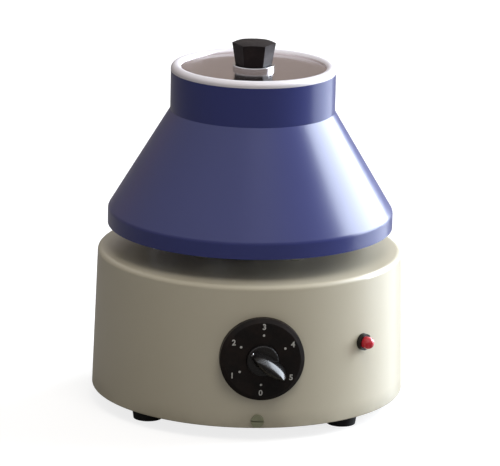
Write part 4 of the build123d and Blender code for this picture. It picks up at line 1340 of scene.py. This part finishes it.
@dataclass(frozen=True)
class Surround:
    """The world: white to the camera, one soft room to the gloss and another to the light.

    Each stop of a room is a place from level, 0, to overhead, 1, with its colour there.
    """

    gloss_stops: Stops = (
        (0.0, (0.16, 0.15, 0.145)),
        (0.22, (0.36, 0.30, 0.265)),
        (0.5, (0.66, 0.64, 0.66)),
        (0.75, (1.0, 0.99, 1.0)),
    )
    light_stops: Stops = (
        (0.0, (0.14, 0.135, 0.13)),
        (0.40, (0.54, 0.532, 0.52)),
        (1.0, (1.0, 0.985, 0.96)),
    )
    gloss_strength: float = 1.0
    light_strength: float = 0.56
    white_strength: float = 1.0

    def room(self, wiring: Wiring, height: object, stops: Stops) -> bpy.types.NodeSocket:
        """Gives a room's colour by the height of the way that a ray goes.

        Args:
            wiring: the world's nodes.
            height: the height's socket.
            stops: the room's stops.

        Returns:
            The colour's socket.
        """
        node = wiring.tree.nodes.new("ShaderNodeValToRGB")
        for place, _ in stops[1:-1]:
            node.color_ramp.elements.new(place)
        for element, (place, colour) in zip(node.color_ramp.elements, stops):
            element.position = place
            element.color = (*colour, 1.0)
        wiring.put(node.inputs["Fac"], height)
        return node.outputs["Color"]

    def glow(self, wiring: Wiring, colour: object, strength: float) -> bpy.types.NodeSocket:
        """Gives a background shader.

        Args:
            wiring: the world's nodes.
            colour: its colour or socket.
            strength: its strength.

        Returns:
            The shader's socket.
        """
        node = wiring.tree.nodes.new("ShaderNodeBackground")
        wiring.put(node.inputs["Color"], colour)
        node.inputs["Strength"].default_value = strength
        return node.outputs["Background"]

    def build(self) -> None:
        """Makes the world."""
        world = bpy.data.worlds.new("studio")
        bpy.context.scene.world = world
        world.use_nodes = True
        wiring = Wiring(world.node_tree)
        nodes = wiring.tree.nodes
        split = nodes.new("ShaderNodeSeparateXYZ")
        wiring.put(split.inputs[0], nodes.new("ShaderNodeTexCoord").outputs["Generated"])
        height = split.outputs["Z"]
        light = self.glow(
            wiring, self.room(wiring, height, self.light_stops), self.light_strength
        )
        gloss = self.glow(
            wiring, self.room(wiring, height, self.gloss_stops), self.gloss_strength
        )
        white = self.glow(wiring, (1.0, 1.0, 1.0, 1.0), self.white_strength)
        path = nodes.new("ShaderNodeLightPath").outputs
        shiny = wiring.work_out(Sum.MAXIMUM, path["Is Glossy Ray"], path["Is Transmission Ray"])
        lit = wiring.mixed(shiny, light, gloss)
        whole = wiring.mixed(path["Is Camera Ray"], lit, white)
        wiring.put(nodes.new("ShaderNodeOutputWorld").inputs["Surface"], whole)


WINDOW = SoftLamp(
    "window", azimuth=112.0, reach=1.7, height=0.80, aim=0.14, size=(1.8, 1.5), power=102.0,
    colour=(0.82, 0.90, 1.0),
)
BACK_WALL = SoftLamp(
    "back_wall", azimuth=150.0, reach=1.9, height=1.0, aim=0.14, size=(1.8, 1.1), power=12.0,
    colour=(0.86, 0.94, 1.0), glossy=False,
)
CEILING = SoftLamp(
    "ceiling", azimuth=12.0, reach=0.65, height=1.1, aim=0.1, size=(0.5, 0.5), power=4.6,
    colour=(1.0, 0.98, 0.95), glossy=False,
)


@dataclass(frozen=True)
class Studio:
    """The floor, the soft light, the white surround and the camera."""

    floor: PaleFloor = PaleFloor()
    surround: Surround = Surround()
    lamps: tuple[SoftLamp, ...] = (WINDOW, BACK_WALL, CEILING)
    viewpoint: Viewpoint = Viewpoint()

    def build(self) -> None:
        """Makes the whole studio."""
        bpy.context.scene.view_settings.view_transform = "Standard"
        self.floor.build()
        self.surround.build()
        for lamp in self.lamps:
            lamp.build()
        self.viewpoint.build()


def main() -> None:
    """Builds the part's sub-assemblies and the studio in order."""
    logging.basicConfig(level=logging.INFO, format="%(name)s: %(message)s")
    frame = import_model()
    shop = Workshop(frame)
    MotorBase(shop).dress()
    dial = SpeedDial(shop)
    dial.build()
    dial.dress()
    PointerKnob(shop).build()
    PilotLamp(shop).dress()
    CordGland(shop).dress()
    AngleHead(shop).dress()
    Lid(shop).dress()
    Studio().build()


if __name__ == "__main__":
    main()
